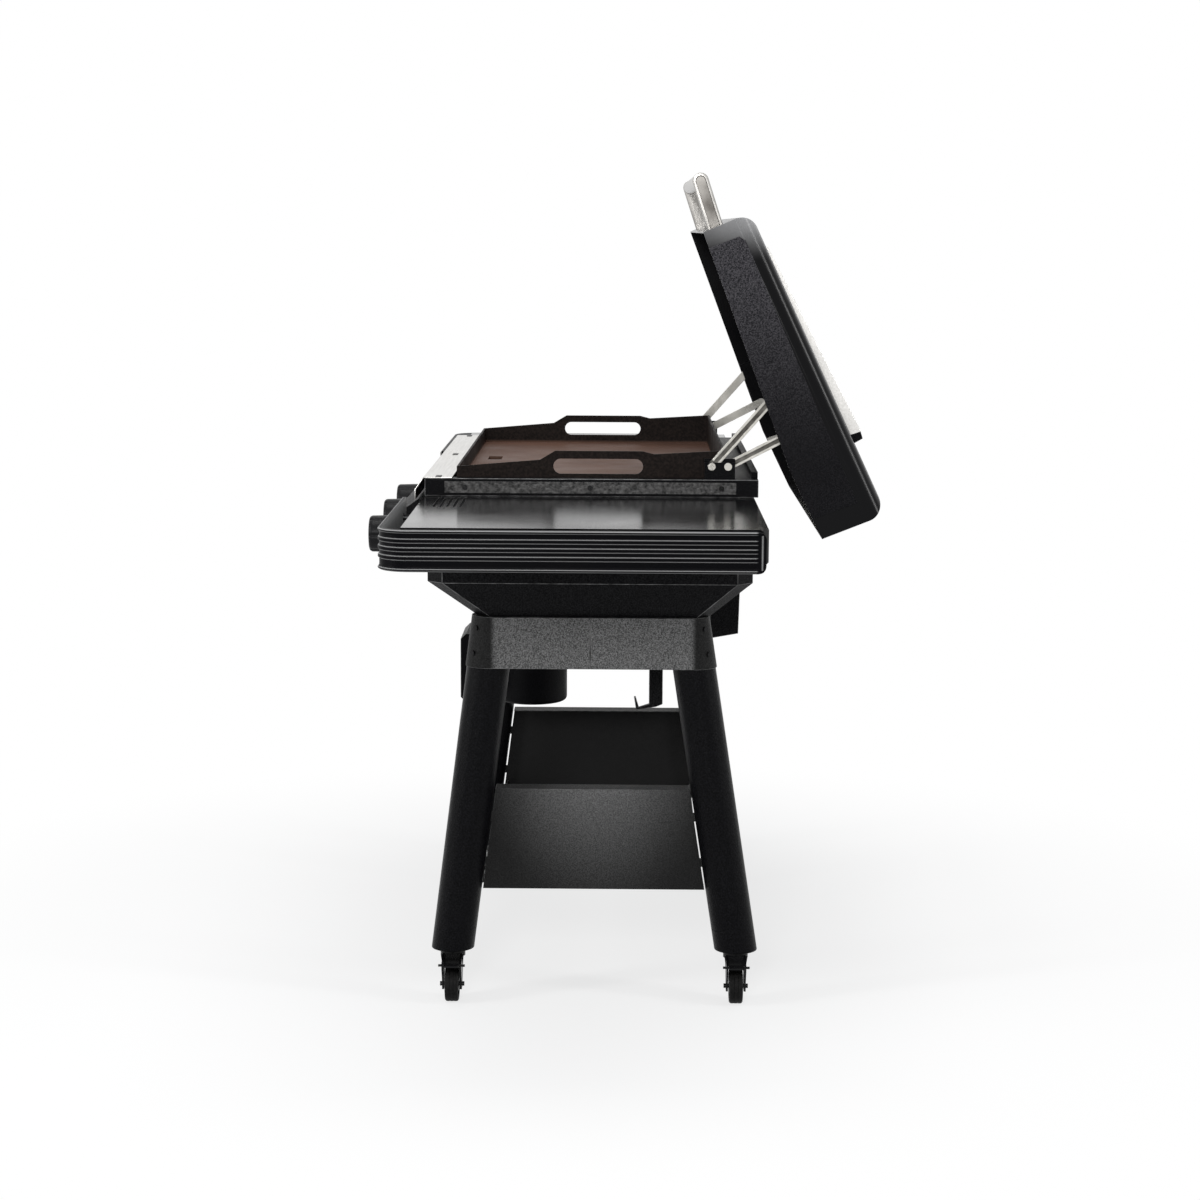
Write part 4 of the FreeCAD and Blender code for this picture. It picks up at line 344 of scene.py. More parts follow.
def paint_highlight_middle(material, middle, reach, dark, inner=None, kept=0.1, whole_to=0.2):
    """Paint a highlight: keep the finish's own pale colour near the middle, and mix to dark as
    the length of (place minus middle) over reach grows from whole_to to 1.

    The kept share of the finish's own colour stays, so that its grain shows everywhere. A reach of
    None leaves its axis out. A side faces out where its normal along X times its place along X is
    more than a little above nought. The other sides take the inner colour, or the dark one.
    """
    tree = material.node_tree
    shader = tree.nodes["Principled BSDF"]
    own = shader.inputs["Base Color"].links[0].from_socket
    place = tree.nodes.new("ShaderNodeTexCoord")
    away = tree.nodes.new("ShaderNodeVectorMath")
    away.operation = "SUBTRACT"
    away.inputs[1].default_value = middle
    stretched = tree.nodes.new("ShaderNodeVectorMath")
    stretched.operation = "MULTIPLY"
    stretched.inputs[1].default_value = [0 if size is None else 1 / size for size in reach]
    length = tree.nodes.new("ShaderNodeVectorMath")
    length.operation = "LENGTH"
    near = tree.nodes.new("ShaderNodeMapRange")
    near.interpolation_type = "SMOOTHSTEP"
    near.inputs["From Min"].default_value = 1.0
    near.inputs["From Max"].default_value = whole_to
    near.inputs["To Min"].default_value = kept
    mix = tree.nodes.new("ShaderNodeMix")
    mix.data_type = "RGBA"
    mix.inputs[6].default_value = (*dark, 1)
    link = tree.links.new
    link(place.outputs["Object"], away.inputs[0])
    link(away.outputs[0], stretched.inputs[0])
    link(stretched.outputs[0], length.inputs[0])
    link(length.outputs["Value"], near.inputs["Value"])
    sides = tree.nodes.new("ShaderNodeVectorMath")
    sides.operation = "MULTIPLY"
    split = tree.nodes.new("ShaderNodeSeparateXYZ")
    faces_out = tree.nodes.new("ShaderNodeMath")
    faces_out.operation = "GREATER_THAN"
    faces_out.inputs[1].default_value = ANY_OUTWARD
    whole = tree.nodes.new("ShaderNodeMix")
    whole.data_type = "RGBA"
    whole.inputs[6].default_value = (*(inner or dark), 1)
    link(place.outputs["Object"], sides.inputs[0])
    link(place.outputs["Normal"], sides.inputs[1])
    link(sides.outputs[0], split.inputs[0])
    link(split.outputs["X"], faces_out.inputs[0])
    link(near.outputs["Result"], mix.inputs[0])
    link(own, mix.inputs[7])
    link(faces_out.outputs[0], whole.inputs[0])
    link(mix.outputs[2], whole.inputs[7])
    link(whole.outputs[2], shader.inputs["Base Color"])


# Painted highlights: the end beams and end sheets are pale in their middles, and the lid's textured
# ends and its enamel are pale near the top towards the handle.
paint_highlight_middle(beam_coat, (0, 0, 0.7), (None, 0.180, 2), NEAR_BLACK, INNER_SIDE, whole_to=0.93)
paint_highlight_middle(sheet_coat, (0, 0.01, 0.56), (None, 0.245, 0.43), NEAR_BLACK, INNER_SIDE)
paint_highlight_middle(lid_texture, (0, 0.25, 1.44), (None, 0.60, 0.52), COOL_BLACK)
paint_highlight_middle(lid_enamel, (0, 0.235, 1.46), (None, 0.25, 0.16), COOL_BLACK, kept=0)
print("pale middles set")

# %% [markdown]
# ## Bare metals
# Brushed steel is a metal whose noise is stretched out along X, for the ledge and the lid's top
# sheet. The handle is smoother and cloudy, and the sunk middles of its brackets are painted darker
# as shade. The link arms have a steel of their own, painted dark as shade in their grooves.

# %% Metals
brushed_steel = finish("brushed_steel", (0.54, 0.53, 0.51), (0.70, 0.69, 0.67), (0.24, 0.36),
                       260, 0.00006, metal=1.0, stretch=(0.04, 1, 1), crisp=0.0, specular=0.5)
handle_steel = finish("handle_steel", (0.13, 0.12, 0.11), (0.50, 0.49, 0.47), (0.22, 0.34),
                      200, 0.00003, metal=1.0, broad=7, speckle=False, crisp=0.0, specular=0.5)
# A darker steel for the handle brackets' sunk middles: painted shade.
sunk_shade_steel = finish("sunk_shade_steel", (0.05, 0.045, 0.04), (0.26, 0.25, 0.235), (0.26, 0.4), 200,
                    0.00003, metal=1.0, broad=16, speckle=False, crisp=0.0, specular=0.5)
arm_steel = finish("arm_steel", (0.34, 0.33, 0.30), (0.52, 0.505, 0.47), (0.24, 0.36), 60, 0.00005,
                   metal=1.0, crisp=0.0, specular=0.5)
# A dark steel for the arms' grooves: painted shade.
arm_groove_shade = finish("arm_groove_shade", (0.030, 0.028, 0.025), (0.11, 0.105, 0.095), (0.3, 0.45), 90,
                    0.00005, metal=1.0, crisp=0.0, specular=0.5)
dull_zinc = finish("dull_zinc", (0.36, 0.36, 0.35), (0.52, 0.52, 0.5), (0.4, 0.6), 140, 0.0002,
                   metal=1.0, broad=30, speckle=False, specular=0.5)
brass = finish("brass", (0.46, 0.34, 0.13), (0.6, 0.46, 0.2), (0.3, 0.45), 200, 0.0001, metal=1.0,
               speckle=False, specular=0.5)
bare_ceramic = finish("bare_ceramic", (0.62, 0.6, 0.55), (0.78, 0.76, 0.7), (0.5, 0.7), 300, 0.0002)
print("metals and ceramic made")

# %% [markdown]
# ## Seasoned steel
# The cooking plate is bare steel, rubbed with oil and baked. Its floor has turned a warm brown
# where it was wiped and its walls stay almost black. One graph does both: the height above the
# plate's floor fades the brown to black, and a cloudy noise mottles it as oil does.

# %% Cooking plate finish
BROWN_BELOW, BLACK_ABOVE = 0.9235, 0.929


def seasoned_steel():
    """Brown, mottled oil film on the floor that fades to black within 6 mm up the walls."""
    material = finish("seasoned_steel", (0.007, 0.0055, 0.005), (0.017, 0.0125, 0.011),
                      (0.40, 0.60), 240, 0.0004, specular=0.04)
    tree = material.node_tree
    shader = tree.nodes["Principled BSDF"]
    place = tree.nodes.new("ShaderNodeTexCoord")
    split = tree.nodes.new("ShaderNodeSeparateXYZ")
    rise = tree.nodes.new("ShaderNodeMapRange")
    rise.inputs["From Min"].default_value = BROWN_BELOW
    rise.inputs["From Max"].default_value = BLACK_ABOVE
    cloud = tree.nodes.new("ShaderNodeTexNoise")
    cloud.inputs["Scale"].default_value = 7
    cloud.inputs["Detail"].default_value = 7
    cloud.inputs["Roughness"].default_value = 0.6
    brown = tree.nodes.new("ShaderNodeMix")
    brown.data_type = "RGBA"
    brown.inputs[6].default_value = (0.055, 0.031, 0.023, 1)
    brown.inputs[7].default_value = (0.135, 0.076, 0.055, 1)
    whole = tree.nodes.new("ShaderNodeMix")
    whole.data_type = "RGBA"
    link = tree.links.new
    old = shader.inputs["Base Color"].links[0].from_socket
    link(place.outputs["Object"], split.inputs[0])
    link(place.outputs["Object"], cloud.inputs["Vector"])
    link(split.outputs["Z"], rise.inputs["Value"])
    link(cloud.outputs["Fac"], brown.inputs[0])
    link(rise.outputs["Result"], whole.inputs[0])
    link(brown.outputs[2], whole.inputs[6])
    link(old, whole.inputs[7])
    link(whole.outputs[2], shader.inputs["Base Color"])
    return material


plate_finish = seasoned_steel()
print("plate finish", plate_finish.name)

# %% [markdown]
# ## Surfaces from grids
# A curved piece is worked out as a grid of points, rows by columns, all at once in numpy. Quads
# join each point to its neighbours. One or more grids make a piece: their doubled points are
# merged, so that poles and seams close, and the faces are turned outwards.

# %% A grid and its quads
def lattice(points, wrap_rows=False, wrap_columns=False, finish_index=0):
    """Corners and quads of a grid of points; wrap joins the last row or column to the first."""
    rows, columns = points.shape[:2]
    index = np.arange(rows * columns).reshape(rows, columns)
    if wrap_rows:
        index = np.concatenate([index, index[:1]])
    if wrap_columns:
        index = np.concatenate([index, index[:, :1]], axis=1)
    quads = np.stack([index[:-1, :-1], index[1:, :-1], index[1:, 1:], index[:-1, 1:]], axis=-1)
    quads = quads.reshape(-1, 4)
    return points.reshape(-1, 3), quads, np.full(len(quads), finish_index)


# %% From grids to a piece of the model
WELD = 1e-6
pieces = {}


def settle(item, node, finishes, crease):
    """Smooth a piece, dress it, and let it stand for its node and move with its node's body."""
    mesh = item.data
    mesh.polygons.foreach_set("use_smooth", np.ones(len(mesh.polygons), dtype=bool))
    mesh.set_sharp_from_angle(angle=math.radians(crease))
    kept = np.zeros(len(mesh.polygons), dtype=np.int32)
    mesh.polygons.foreach_get("material_index", kept)
    mesh.materials.clear()
    for finish_made in finishes:
        mesh.materials.append(finish_made)
    mesh.polygons.foreach_set("material_index", kept)
    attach(item, body_of(nodes[node])[0])
    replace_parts(item, node)
    pieces[item.name] = item
    return item


def make_piece(name, parts, node, finishes, crease=35):
    """One object from several grids, in place of a solid."""
    starts = np.cumsum([0] + [len(part[0]) for part in parts])[:-1]
    corners = np.concatenate([part[0] for part in parts])
    faces = np.concatenate([part[1] + start for part, start in zip(parts, starts)])
    owners = np.concatenate([part[2] for part in parts])
    mesh = bpy.data.meshes.new(name)
    mesh.from_pydata(corners.tolist(), [], faces.tolist())
    mesh.polygons.foreach_set("material_index", owners.astype(np.int32))
    work = bmesh.new()
    work.from_mesh(mesh)
    bmesh.ops.remove_doubles(work, verts=work.verts, dist=WELD)
    bmesh.ops.dissolve_degenerate(work, edges=work.edges, dist=WELD)
    bmesh.ops.recalc_face_normals(work, faces=work.faces)
    work.to_mesh(mesh)
    work.free()
    item = bpy.data.objects.new(name, mesh)
    bpy.context.scene.collection.objects.link(item)
    return settle(item, node, finishes, crease)


# %% [markdown]
# ## Folded sheet with soft edges
# Folded and painted sheet has no knife edges: each fold is a small round that catches a line of
# light. The solids are right but sharp, so each one is copied, its loose triangles are joined and
# flattened into whole faces, and a Bevel modifier rounds the edges that turn by more than 40
# degrees. On most painted pieces the rounded edge takes a paler finish, which stands for wear and
# is also a painted highlight along the edge.

# %% Round the edges of a copy
JOIN_WITHIN = 2e-5
FLAT_DEGREES, BEND_DEGREES, CREASE_DEGREES = 0.08, 40, 32


def soften(node, width, finish_made, segments=2, paint=None, pale_edge=None):
    """A copy of a solid whose sharp edges are rounded to a width in metres.

    Paint, if given, is a function of the face centres that says which take the second finish. The
    last argument, if given, is the finish of the rounded edges: worn paint and a painted highlight.
    """
    finishes = finish_made if isinstance(finish_made, list) else [finish_made]
    if pale_edge:
        finishes = finishes + [pale_edge]
    mesh = nodes[node].data.copy()
    mesh.name = node + "_soft"
    work = bmesh.new()
    work.from_mesh(mesh)
    bmesh.ops.remove_doubles(work, verts=work.verts, dist=JOIN_WITHIN)
    bmesh.ops.dissolve_limit(work, angle_limit=math.radians(FLAT_DEGREES), verts=work.verts,
                             edges=work.edges, use_dissolve_boundaries=False)
    if paint:
        centres = np.array([face.calc_center_median()[:] for face in work.faces])
        for face, chosen in zip(work.faces, paint(centres)):
            face.material_index = int(chosen)
    else:
        for face in work.faces:
            face.material_index = 0
    work.to_mesh(mesh)
    work.free()
    item = bpy.data.objects.new(node + "_soft", mesh)
    bpy.context.scene.collection.objects.link(item)
    settle(item, node, finishes, CREASE_DEGREES)
    bevel = item.modifiers.new("round_edges", "BEVEL")
    bevel.width = width
    bevel.segments = segments
    bevel.limit_method = "ANGLE"
    bevel.angle_limit = math.radians(BEND_DEGREES)
    if pale_edge:
        bevel.material = len(finishes) - 1
    return item


SOFT = {
    beam_coat: {"end_beam_right": 0.0009, "end_beam_left": 0.0009},
    sheet_coat: {"end_plate_right": 0.0007, "end_plate_left": 0.0007},
    powder_coat: {"lower_shelf": 0.0006, "firebox_shell": 0.0006, "heat_hopper": 0.0006,
                  "control_panel": 0.0007, "tank_hook": 0.001, "rear_bracket": 0.0008,
                  "cross_beams": 0.0008},
    strip_coat: {"side_trim_strips": 0.0005},
    fine_coat: {"top_frame": 0.0009, "keg_front_plate": 0.0018, "rear_vent_strip": 0.0008,
                "grease_keg": 0.0005},
    shelf_enamel: {"side_shelf_right": 0.0009, "side_shelf_left": 0.0009},
    lid_enamel: {"lid_shell": 0.0009},
    lid_texture: {"lid_side_panels": 0.0005},
    brushed_steel: {"front_ledge": 0.0007},
    plate_finish: {"griddle_plate": 0.0013},
    black_steel: {"caster_fork_front_right": 0.001, "caster_fork_front_left": 0.001,
                  "caster_fork_rear_right": 0.001, "caster_fork_rear_left": 0.001},
    moulded_plastic: {"caster_brake_front_right": 0.0009, "caster_brake_front_left": 0.0009,
                      "caster_brake_rear_right": 0.0009, "caster_brake_rear_left": 0.0009},
    leg_coat: {"leg_foot_caps": 0.0015},
}
# The rounded edges take a paler finish: worn paint, and a painted highlight along each edge.
edge_wear_and_highlight = finish("edge_wear_and_highlight", (0.004, 0.004, 0.004), (0.20, 0.20, 0.20), (0.3, 0.45), 60, 0.0001,
                   crisp=0.2, specular=0.3)
PALE_EDGED = (powder_coat, sheet_coat, beam_coat, fine_coat, shelf_enamel, lid_enamel)
for finish_made, widths in SOFT.items():
    for node, width in widths.items():
        soften(node, width, finish_made, pale_edge=edge_wear_and_highlight if finish_made in PALE_EDGED else None)
print("softened", len(pieces))

# %% [markdown]
# ## Pieces with two finishes
# Some solids hold two real parts. The hinge brackets are painted black, but their bolt heads are
# bare steel, and so are the pivot heads and the little stops on the black lugs inside the lid. The
# raised panel on the lid is brushed steel with a black cap at the rear. The grooves of the link
# arms are painted dark as shade. The faces are told apart by where they lie: by how far out they
# are along X, by their distance from a pivot, or by how far down the lid's own slope.

# %% The lid's own directions
LID_TURN = math.radians(69.26)
LID_Y, LID_Z = 0.182018, 1.351014


def lid_points(x, along, rise):
    """Points of the lid's frame: along runs down its rim from the front, rise stands off the rim.

    y is the base plus along times the cosine of the turn plus rise times its sine, and z is the
    base less along times the sine plus rise times the cosine.
    """
    cosine, sine = math.cos(LID_TURN), math.sin(LID_TURN)
    x, along, rise = np.broadcast_arrays(x, along, rise)
    return np.stack([x, LID_Y + along * cosine + rise * sine,
                     LID_Z - along * sine + rise * cosine], axis=-1)


def along_lid(centres):
    """How far down the rim each point lies, the inverse of the sum above."""
    return ((centres[:, 1] - LID_Y) * math.cos(LID_TURN)
            - (centres[:, 2] - LID_Z) * math.sin(LID_TURN))


# %% Paint the heads and the cap
PLATE_OUTSIDE, PLATE_INSIDE = 0.44196, 0.4273
LUG_PIVOT_Y, LUG_PIVOT_Z, PIVOT_HEAD_RADIUS, LUG_OUTSIDE = 0.3037, 1.0720, 0.0076, 0.4386
STOP_ALONG, STOP_OUTSIDE = 0.448, 0.4438
WEB_REACHES, WEB_WITHIN = (0.43873, 0.43043), 0.0002
CAP_ALONG = 0.4162


def hinge_heads(centres):
    """Heads stand proud of the bracket's plate on both sides."""
    reach = np.abs(centres[:, 0])
    return (reach > PLATE_OUTSIDE) | (reach < PLATE_INSIDE)


def lug_heads(centres):
    """A head is near the lug's pivot and proud of the lug; a stop is far down and further out."""
    reach = np.abs(centres[:, 0])
    pivot = np.hypot(centres[:, 1] - LUG_PIVOT_Y, centres[:, 2] - LUG_PIVOT_Z)
    stop = (along_lid(centres) > STOP_ALONG) & (reach > STOP_OUTSIDE)
    return ((pivot < PIVOT_HEAD_RADIUS) & (reach > LUG_OUTSIDE)) | stop


def arm_webs(centres):
    """The sunk middle of an arm lies at one reach along X for each pair of arms."""
    reach = np.abs(centres[:, 0])
    return np.any([np.abs(reach - web) < WEB_WITHIN for web in WEB_REACHES], axis=0)


# The sunk middle of each arm takes the dark steel, painted shade in its groove.
for node in ("front_link_arms", "rear_link_arms"):
    soften(node, 0.0004, [arm_steel, arm_groove_shade], paint=arm_webs)
soften("hinge_brackets", 0.0006, [fine_coat, arm_steel], paint=hinge_heads)
soften("lid_lugs", 0.0005, [fine_coat, arm_steel], paint=lug_heads)
soften("lid_top_panel", 0.0012, [brushed_steel, fine_coat],
       paint=lambda centres: along_lid(centres) > CAP_ALONG)
soften("frame_screws", 0.0009, black_steel, segments=3)
soften("lid_bumpers", 0.0016, moulded_plastic, segments=3)
print("two-finish pieces made", len(pieces))

# %% [markdown]
# ## Turned pieces
# Knobs, wheels, spacers and bars are round. A profile of distances along an axis and radii is
# carried round the axis, and the radius may change with the angle, which makes the finger grips.

# %% A profile carried round an axis
def turned(along, radius, centre, axis, count=64, finish_index=0, closed=False):
    """Points at centre plus along times the axis plus radius times a unit circle round the axis.

    Radius is one number for each step along, or a table of steps by angles.
    """
    axis = np.array(axis, dtype=float)
    side = np.array((0.0, 0.0, 1.0)) if abs(axis[2]) < 0.5 else np.array((1.0, 0.0, 0.0))
    other = np.cross(axis, side)
    angle = np.linspace(0, 2 * np.pi, count, endpoint=False)
    radius = np.asarray(radius, dtype=float)
    radius = radius[:, None] if radius.ndim == 1 else radius
    circle = np.cos(angle)[:, None] * side + np.sin(angle)[:, None] * other
    along = np.asarray(along, dtype=float)
    along = along[:, None] if along.ndim == 1 else along
    spread = np.broadcast_to(along, (len(along), count))[..., None] * axis
    points = np.array(centre) + spread + radius[..., None] * circle
    return lattice(points, wrap_rows=closed, wrap_columns=True, finish_index=finish_index)


def angles(count):
    return np.linspace(0, 2 * np.pi, count, endpoint=False)


# %% [markdown]
# ## Control knobs
# Each knob is a deep moulded cap with six finger grips round its side, a soft front edge, a
# slightly dished face and one raised line that shows where it points.

# %% Knobs
KNOB_BACK_Y, ROD_START_Y, KNOB_Z = -0.3605, -0.3615, 0.817
GRIPS, GRIP_DEPTH, GRIP_SPREAD, LINE_RISE = 6, 0.0024, 0.085, 0.0007


def knob_cap(centre_x):
    """The radius falls by 2.4 mm where the angle is near a grip, and less towards the rims.

    The dish and the raised line are 0.7 mm deep and high.
    """
    count = 144
    angle = angles(count)
    length, back, front, fillet = 0.040, 0.033, 0.032, 0.006
    side_along = np.linspace(0, length - fillet, 14)
    turn_round = np.linspace(0, np.pi / 2, 8)[1:]
    face_radius = np.array([0.022, 0.018, 0.014, 0.010, 0.006, 0.0])
    along = np.concatenate([[0.0], side_along, length - fillet + fillet * np.sin(turn_round),
                            length - LINE_RISE * (1 - (face_radius / 0.026) ** 2)])
    radius = np.concatenate([[0.0], back + (front - back) * side_along / length,
                             front - fillet + fillet * np.cos(turn_round), face_radius])
    phase = (angle % (2 * np.pi / GRIPS)) - np.pi / GRIPS
    grip = np.exp(-(phase / GRIP_SPREAD) ** 2)
    near_rim = np.clip(along / 0.006, 0, 1) * np.clip((length - along) / 0.004, 0, 1)
    outer = np.clip((radius - 0.024) / 0.006, 0, 1)
    radius = radius[:, None] - GRIP_DEPTH * (near_rim * outer)[:, None] * grip
    beside = radius * np.sin(angle)
    above = radius * np.cos(angle)
    line = np.exp(-(beside / 0.0011) ** 2) * ((above > 0.006) & (above < 0.025))
    raised = along[:, None] + LINE_RISE * line * (along[:, None] > length - 0.001)
    return turned(raised, radius, (centre_x, KNOB_BACK_Y, KNOB_Z), (0, -1, 0), count)


def knob_rod(centre_x, far):
    """A plain rod from inside the cap back to the valve, closed at both ends."""
    start = (centre_x, ROD_START_Y, KNOB_Z)
    return turned([0, 0, far, far], [0, 0.004, 0.004, 0], start, (0, 1, 0), 24)


for node, centre_x in (("knob_right", 0.279), ("knob_centre", 0.0), ("knob_left", -0.279)):
    rod_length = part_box(node)[1][1] - ROD_START_Y
    made = make_piece(node + "_turned", [knob_cap(centre_x), knob_rod(centre_x, rod_length)], node,
                      [moulded_plastic], crease=50)
soften("knob_bezels", 0.0009, black_steel)
print("knob faces", len(made.data.polygons))

# %% [markdown]
# ## Caster wheels
# A wheel has a soft black tread with rounded shoulders and two thin grooves, moulded on a hard hub
# with a dished web and five shallow pockets. Tread and hub are one closed profile round the axle,
# with the finish changing at the rim.

# %% Wheels
POCKETS, POCKET_DEPTH, GROOVE_DEPTH = 5, 0.0011, 0.0006


def wheel_parts(centre, axis):
    """Two closed rings: the hub, whose web dips by a wave of five, and the tread round it."""
    count = 120
    angle = angles(count)
    half, bore, hub, rim, tread = 0.012, 0.00415, 0.012, 0.0228, 0.031
    steps = np.array([(-half, bore), (-half, hub), (-half + 0.0025, hub + 0.0012),
                      (-half + 0.0025, rim - 0.0015), (-half + 0.0004, rim), (half - 0.0004, rim),
                      (half - 0.0025, rim - 0.0015), (half - 0.0025, hub + 0.0012), (half, hub),
                      (half, bore)])
    pocket = POCKET_DEPTH * (0.5 + 0.5 * np.cos(POCKETS * angle))
    along = np.repeat(steps[:, :1], count, axis=1)
    along[2:4] += pocket
    along[6:8] -= pocket
    hub_part = turned(along, steps[:, 1], centre, axis, count, 1, closed=True)
    bend = np.linspace(0, np.pi / 2, 6)
    shoulder = 0.0042
    up_along = -half + shoulder - shoulder * np.cos(bend)
    up_radius = tread - shoulder + shoulder * np.sin(bend)
    groove_along = np.array([-0.0042, -0.0038, -0.0032, -0.0028, 0.0028, 0.0032, 0.0038, 0.0042])
    groove_radius = tread - GROOVE_DEPTH * np.array([0, 1, 1, 0, 0, 1, 1, 0])
    along = np.concatenate([[-half], up_along, groove_along, -up_along[::-1], [half]])
    radius = np.concatenate([[rim], up_radius, groove_radius, up_radius[::-1], [rim]])
    return [hub_part, turned(along, radius, centre, axis, count, 0, closed=True)]


for end in ("front_right", "front_left", "rear_right", "rear_left"):
    node = "caster_wheel_" + end
    low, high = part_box(node)
    centre = tuple((low + high) / 2)
    made = make_piece(node + "_turned", wheel_parts(centre, (0, 1, 0)), node,
                      [tyre_rubber, moulded_plastic], crease=40)
print("wheel faces", len(made.data.polygons))

# %% [markdown]
# ## Ribbed rails
# A broad band wraps the outer and front edges of each shelf. It is rolled from sheet, with a proud
# lip along its top and bottom edges and three raised ribs between them that run round the corner.
# The band is one closed profile carried along an L-shaped path, so the ribs bend with it.

# %% The path of a rail
RAIL_X, RAIL_Y, RAIL_START, RAIL_END, RAIL_CORNER = 0.930, -0.325, 0.4505, 0.2695, 0.048
RAIL_LOW, RAIL_HIGH, RAIL_THICK = 0.836, 0.901, 0.005
END_CLOSE = 0.016


def rail_path():
    """Plan points, outward directions and distances left to the rear end, along front then side."""
    front = np.linspace(RAIL_START, RAIL_X - RAIL_CORNER, 30)[:-1]
    bend = np.linspace(0, np.pi / 2, 25)
    near_end = RAIL_END - END_CLOSE * (1 - np.sin(np.linspace(0, np.pi / 2, 26)))
    straight = np.linspace(RAIL_Y + RAIL_CORNER, RAIL_END - END_CLOSE, 50)[1:-1]
    side = np.concatenate([straight, near_end])
    places = np.concatenate([
        np.stack([front, np.full_like(front, RAIL_Y)], axis=1),
        np.stack([RAIL_X - RAIL_CORNER + RAIL_CORNER * np.sin(bend),
                  RAIL_Y + RAIL_CORNER - RAIL_CORNER * np.cos(bend)], axis=1),
        np.stack([np.full_like(side, RAIL_X), side], axis=1)])
    outward = np.concatenate([np.tile((0.0, -1.0), (len(front), 1)),
                              np.stack([np.sin(bend), -np.cos(bend)], axis=1),
                              np.tile((1.0, 0.0), (len(side), 1))])
    left = np.where(outward[:, 0] > 0.999, RAIL_END - places[:, 1], 1.0)
    return places, outward, left


# %% The profile of a rail
RIB_MIDDLES, RIB_PROUD, RIB_HALF, RIB_SLOPE = (0.8572, 0.8705, 0.8838), 0.0022, 0.0029, 0.00032
LIP_PROUD, LIP_INSET, LIP_SPREAD = 0.0026, 0.003, 0.0024


def rail_profile():
    """Heights, plain offsets and rib offsets round the band's section.

    A rib is a smooth step up and down 2.9 mm either side of its middle, and a lip is a round
    swelling at each edge. The inner face is flat.
    """
    height = np.linspace(RAIL_LOW + 0.0012, RAIL_HIGH - 0.0012, 118)
    ribs = np.zeros_like(height)
    for middle in RIB_MIDDLES:
        ribs += RIB_PROUD / (1 + np.exp((np.abs(height - middle) - RIB_HALF) / RIB_SLOPE))
    lips = (LIP_PROUD * np.exp(-((height - RAIL_HIGH + LIP_INSET) / LIP_SPREAD) ** 2)
            + LIP_PROUD * np.exp(-((height - RAIL_LOW - LIP_INSET) / LIP_SPREAD) ** 2))
    top = np.array([(RAIL_HIGH, -0.0008), (RAIL_HIGH, -RAIL_THICK + 0.001)])
    inner = np.array([(RAIL_HIGH - 0.001, -RAIL_THICK), (RAIL_LOW + 0.001, -RAIL_THICK)])
    bottom = np.array([(RAIL_LOW, -RAIL_THICK + 0.001), (RAIL_LOW, -0.0008)])
    rest = np.concatenate([top, inner, bottom])
    return (np.concatenate([height, rest[:, 0]]), np.concatenate([lips, rest[:, 1]]),
            np.concatenate([ribs, np.zeros(len(rest))]))


# %% Rails and their spacers
RIBS_END, RIBS_FADE, END_ROUND = 0.012, 0.006, 0.013


def rail_band(side):
    """Path plus outward times the profile's offsets; the ribs fade 18 to 12 mm from the rear end.

    Near the end the heights are held inside a corner round of 13 mm, which rounds the band's end.
    """
    places, outward, left = rail_path()
    height, plain, ribs = rail_profile()
    fade = np.clip((left - RIBS_END) / RIBS_FADE, 0, 1)[:, None]
    offset = plain[None, :] + ribs[None, :] * fade * fade * (3 - 2 * fade)
    inside = np.clip(END_ROUND - left, 0, END_ROUND)
    pinch = (END_ROUND - np.sqrt(np.maximum(END_ROUND ** 2 - inside ** 2, 0)))[:, None]
    level = np.clip(height[None, :], RAIL_LOW + pinch, RAIL_HIGH - pinch)
    plan = places[:, None, :] + outward[:, None, :] * offset[..., None]
    points = np.concatenate([plan, level[..., None]], axis=-1)
    caps = [points[row].mean(axis=0, keepdims=True).repeat(points.shape[1], axis=0)[None]
            for row in (0, -1)]
    points = np.concatenate([caps[0], points, caps[1]])
    points[..., 0] *= side
    return lattice(points, wrap_columns=True)


def spacer(start, axis, length):
    """A short tube with a wide collar at each end, turned about its axis."""
    along = np.array([0, 0, 0.0015, 0.002, length - 0.002, length - 0.0015, length, length])
    radius = np.array([0, 0.008, 0.008, 0.0062, 0.0062, 0.008, 0.008, 0])
    return turned(along, radius, start, axis, 28)


def rail_finish():
    """Black satin, paled where a point attribute from nought to one paints highlights."""
    material = finish("rail_coat", (0.0008, 0.0008, 0.0012), (0.003, 0.003, 0.004), (0.32, 0.42),
                      640, 0.0002, specular=0.03)
    tree = material.node_tree
    shader = tree.nodes["Principled BSDF"]
    own = shader.inputs["Base Color"].links[0].from_socket
    painted_highlight = tree.nodes.new("ShaderNodeAttribute")
    painted_highlight.attribute_name = "painted_highlight"
    mix = tree.nodes.new("ShaderNodeMix")
    mix.data_type = "RGBA"
    mix.inputs[7].default_value = (0.42, 0.42, 0.42, 1)
    tree.links.new(painted_highlight.outputs["Fac"], mix.inputs[0])
    tree.links.new(own, mix.inputs[6])
    tree.links.new(mix.outputs[2], shader.inputs["Base Color"])
    return material


RAIL_SHOULDERS = [(0.8995, 0.9), (0.8960, 0.35), (0.8869, 0.8), (0.8807, 0.55), (0.8736, 0.8),
                  (0.8674, 0.55), (0.8603, 0.8), (0.8541, 0.55), (0.8405, 0.8), (0.8372, 0.3)]
BELL, HIGHLIGHT_FADE, END_LINE, END_BELL, END_SHARE, LIP_ROOM = 0.0005, 0.004, 0.006, 0.001, 0.6, 0.006


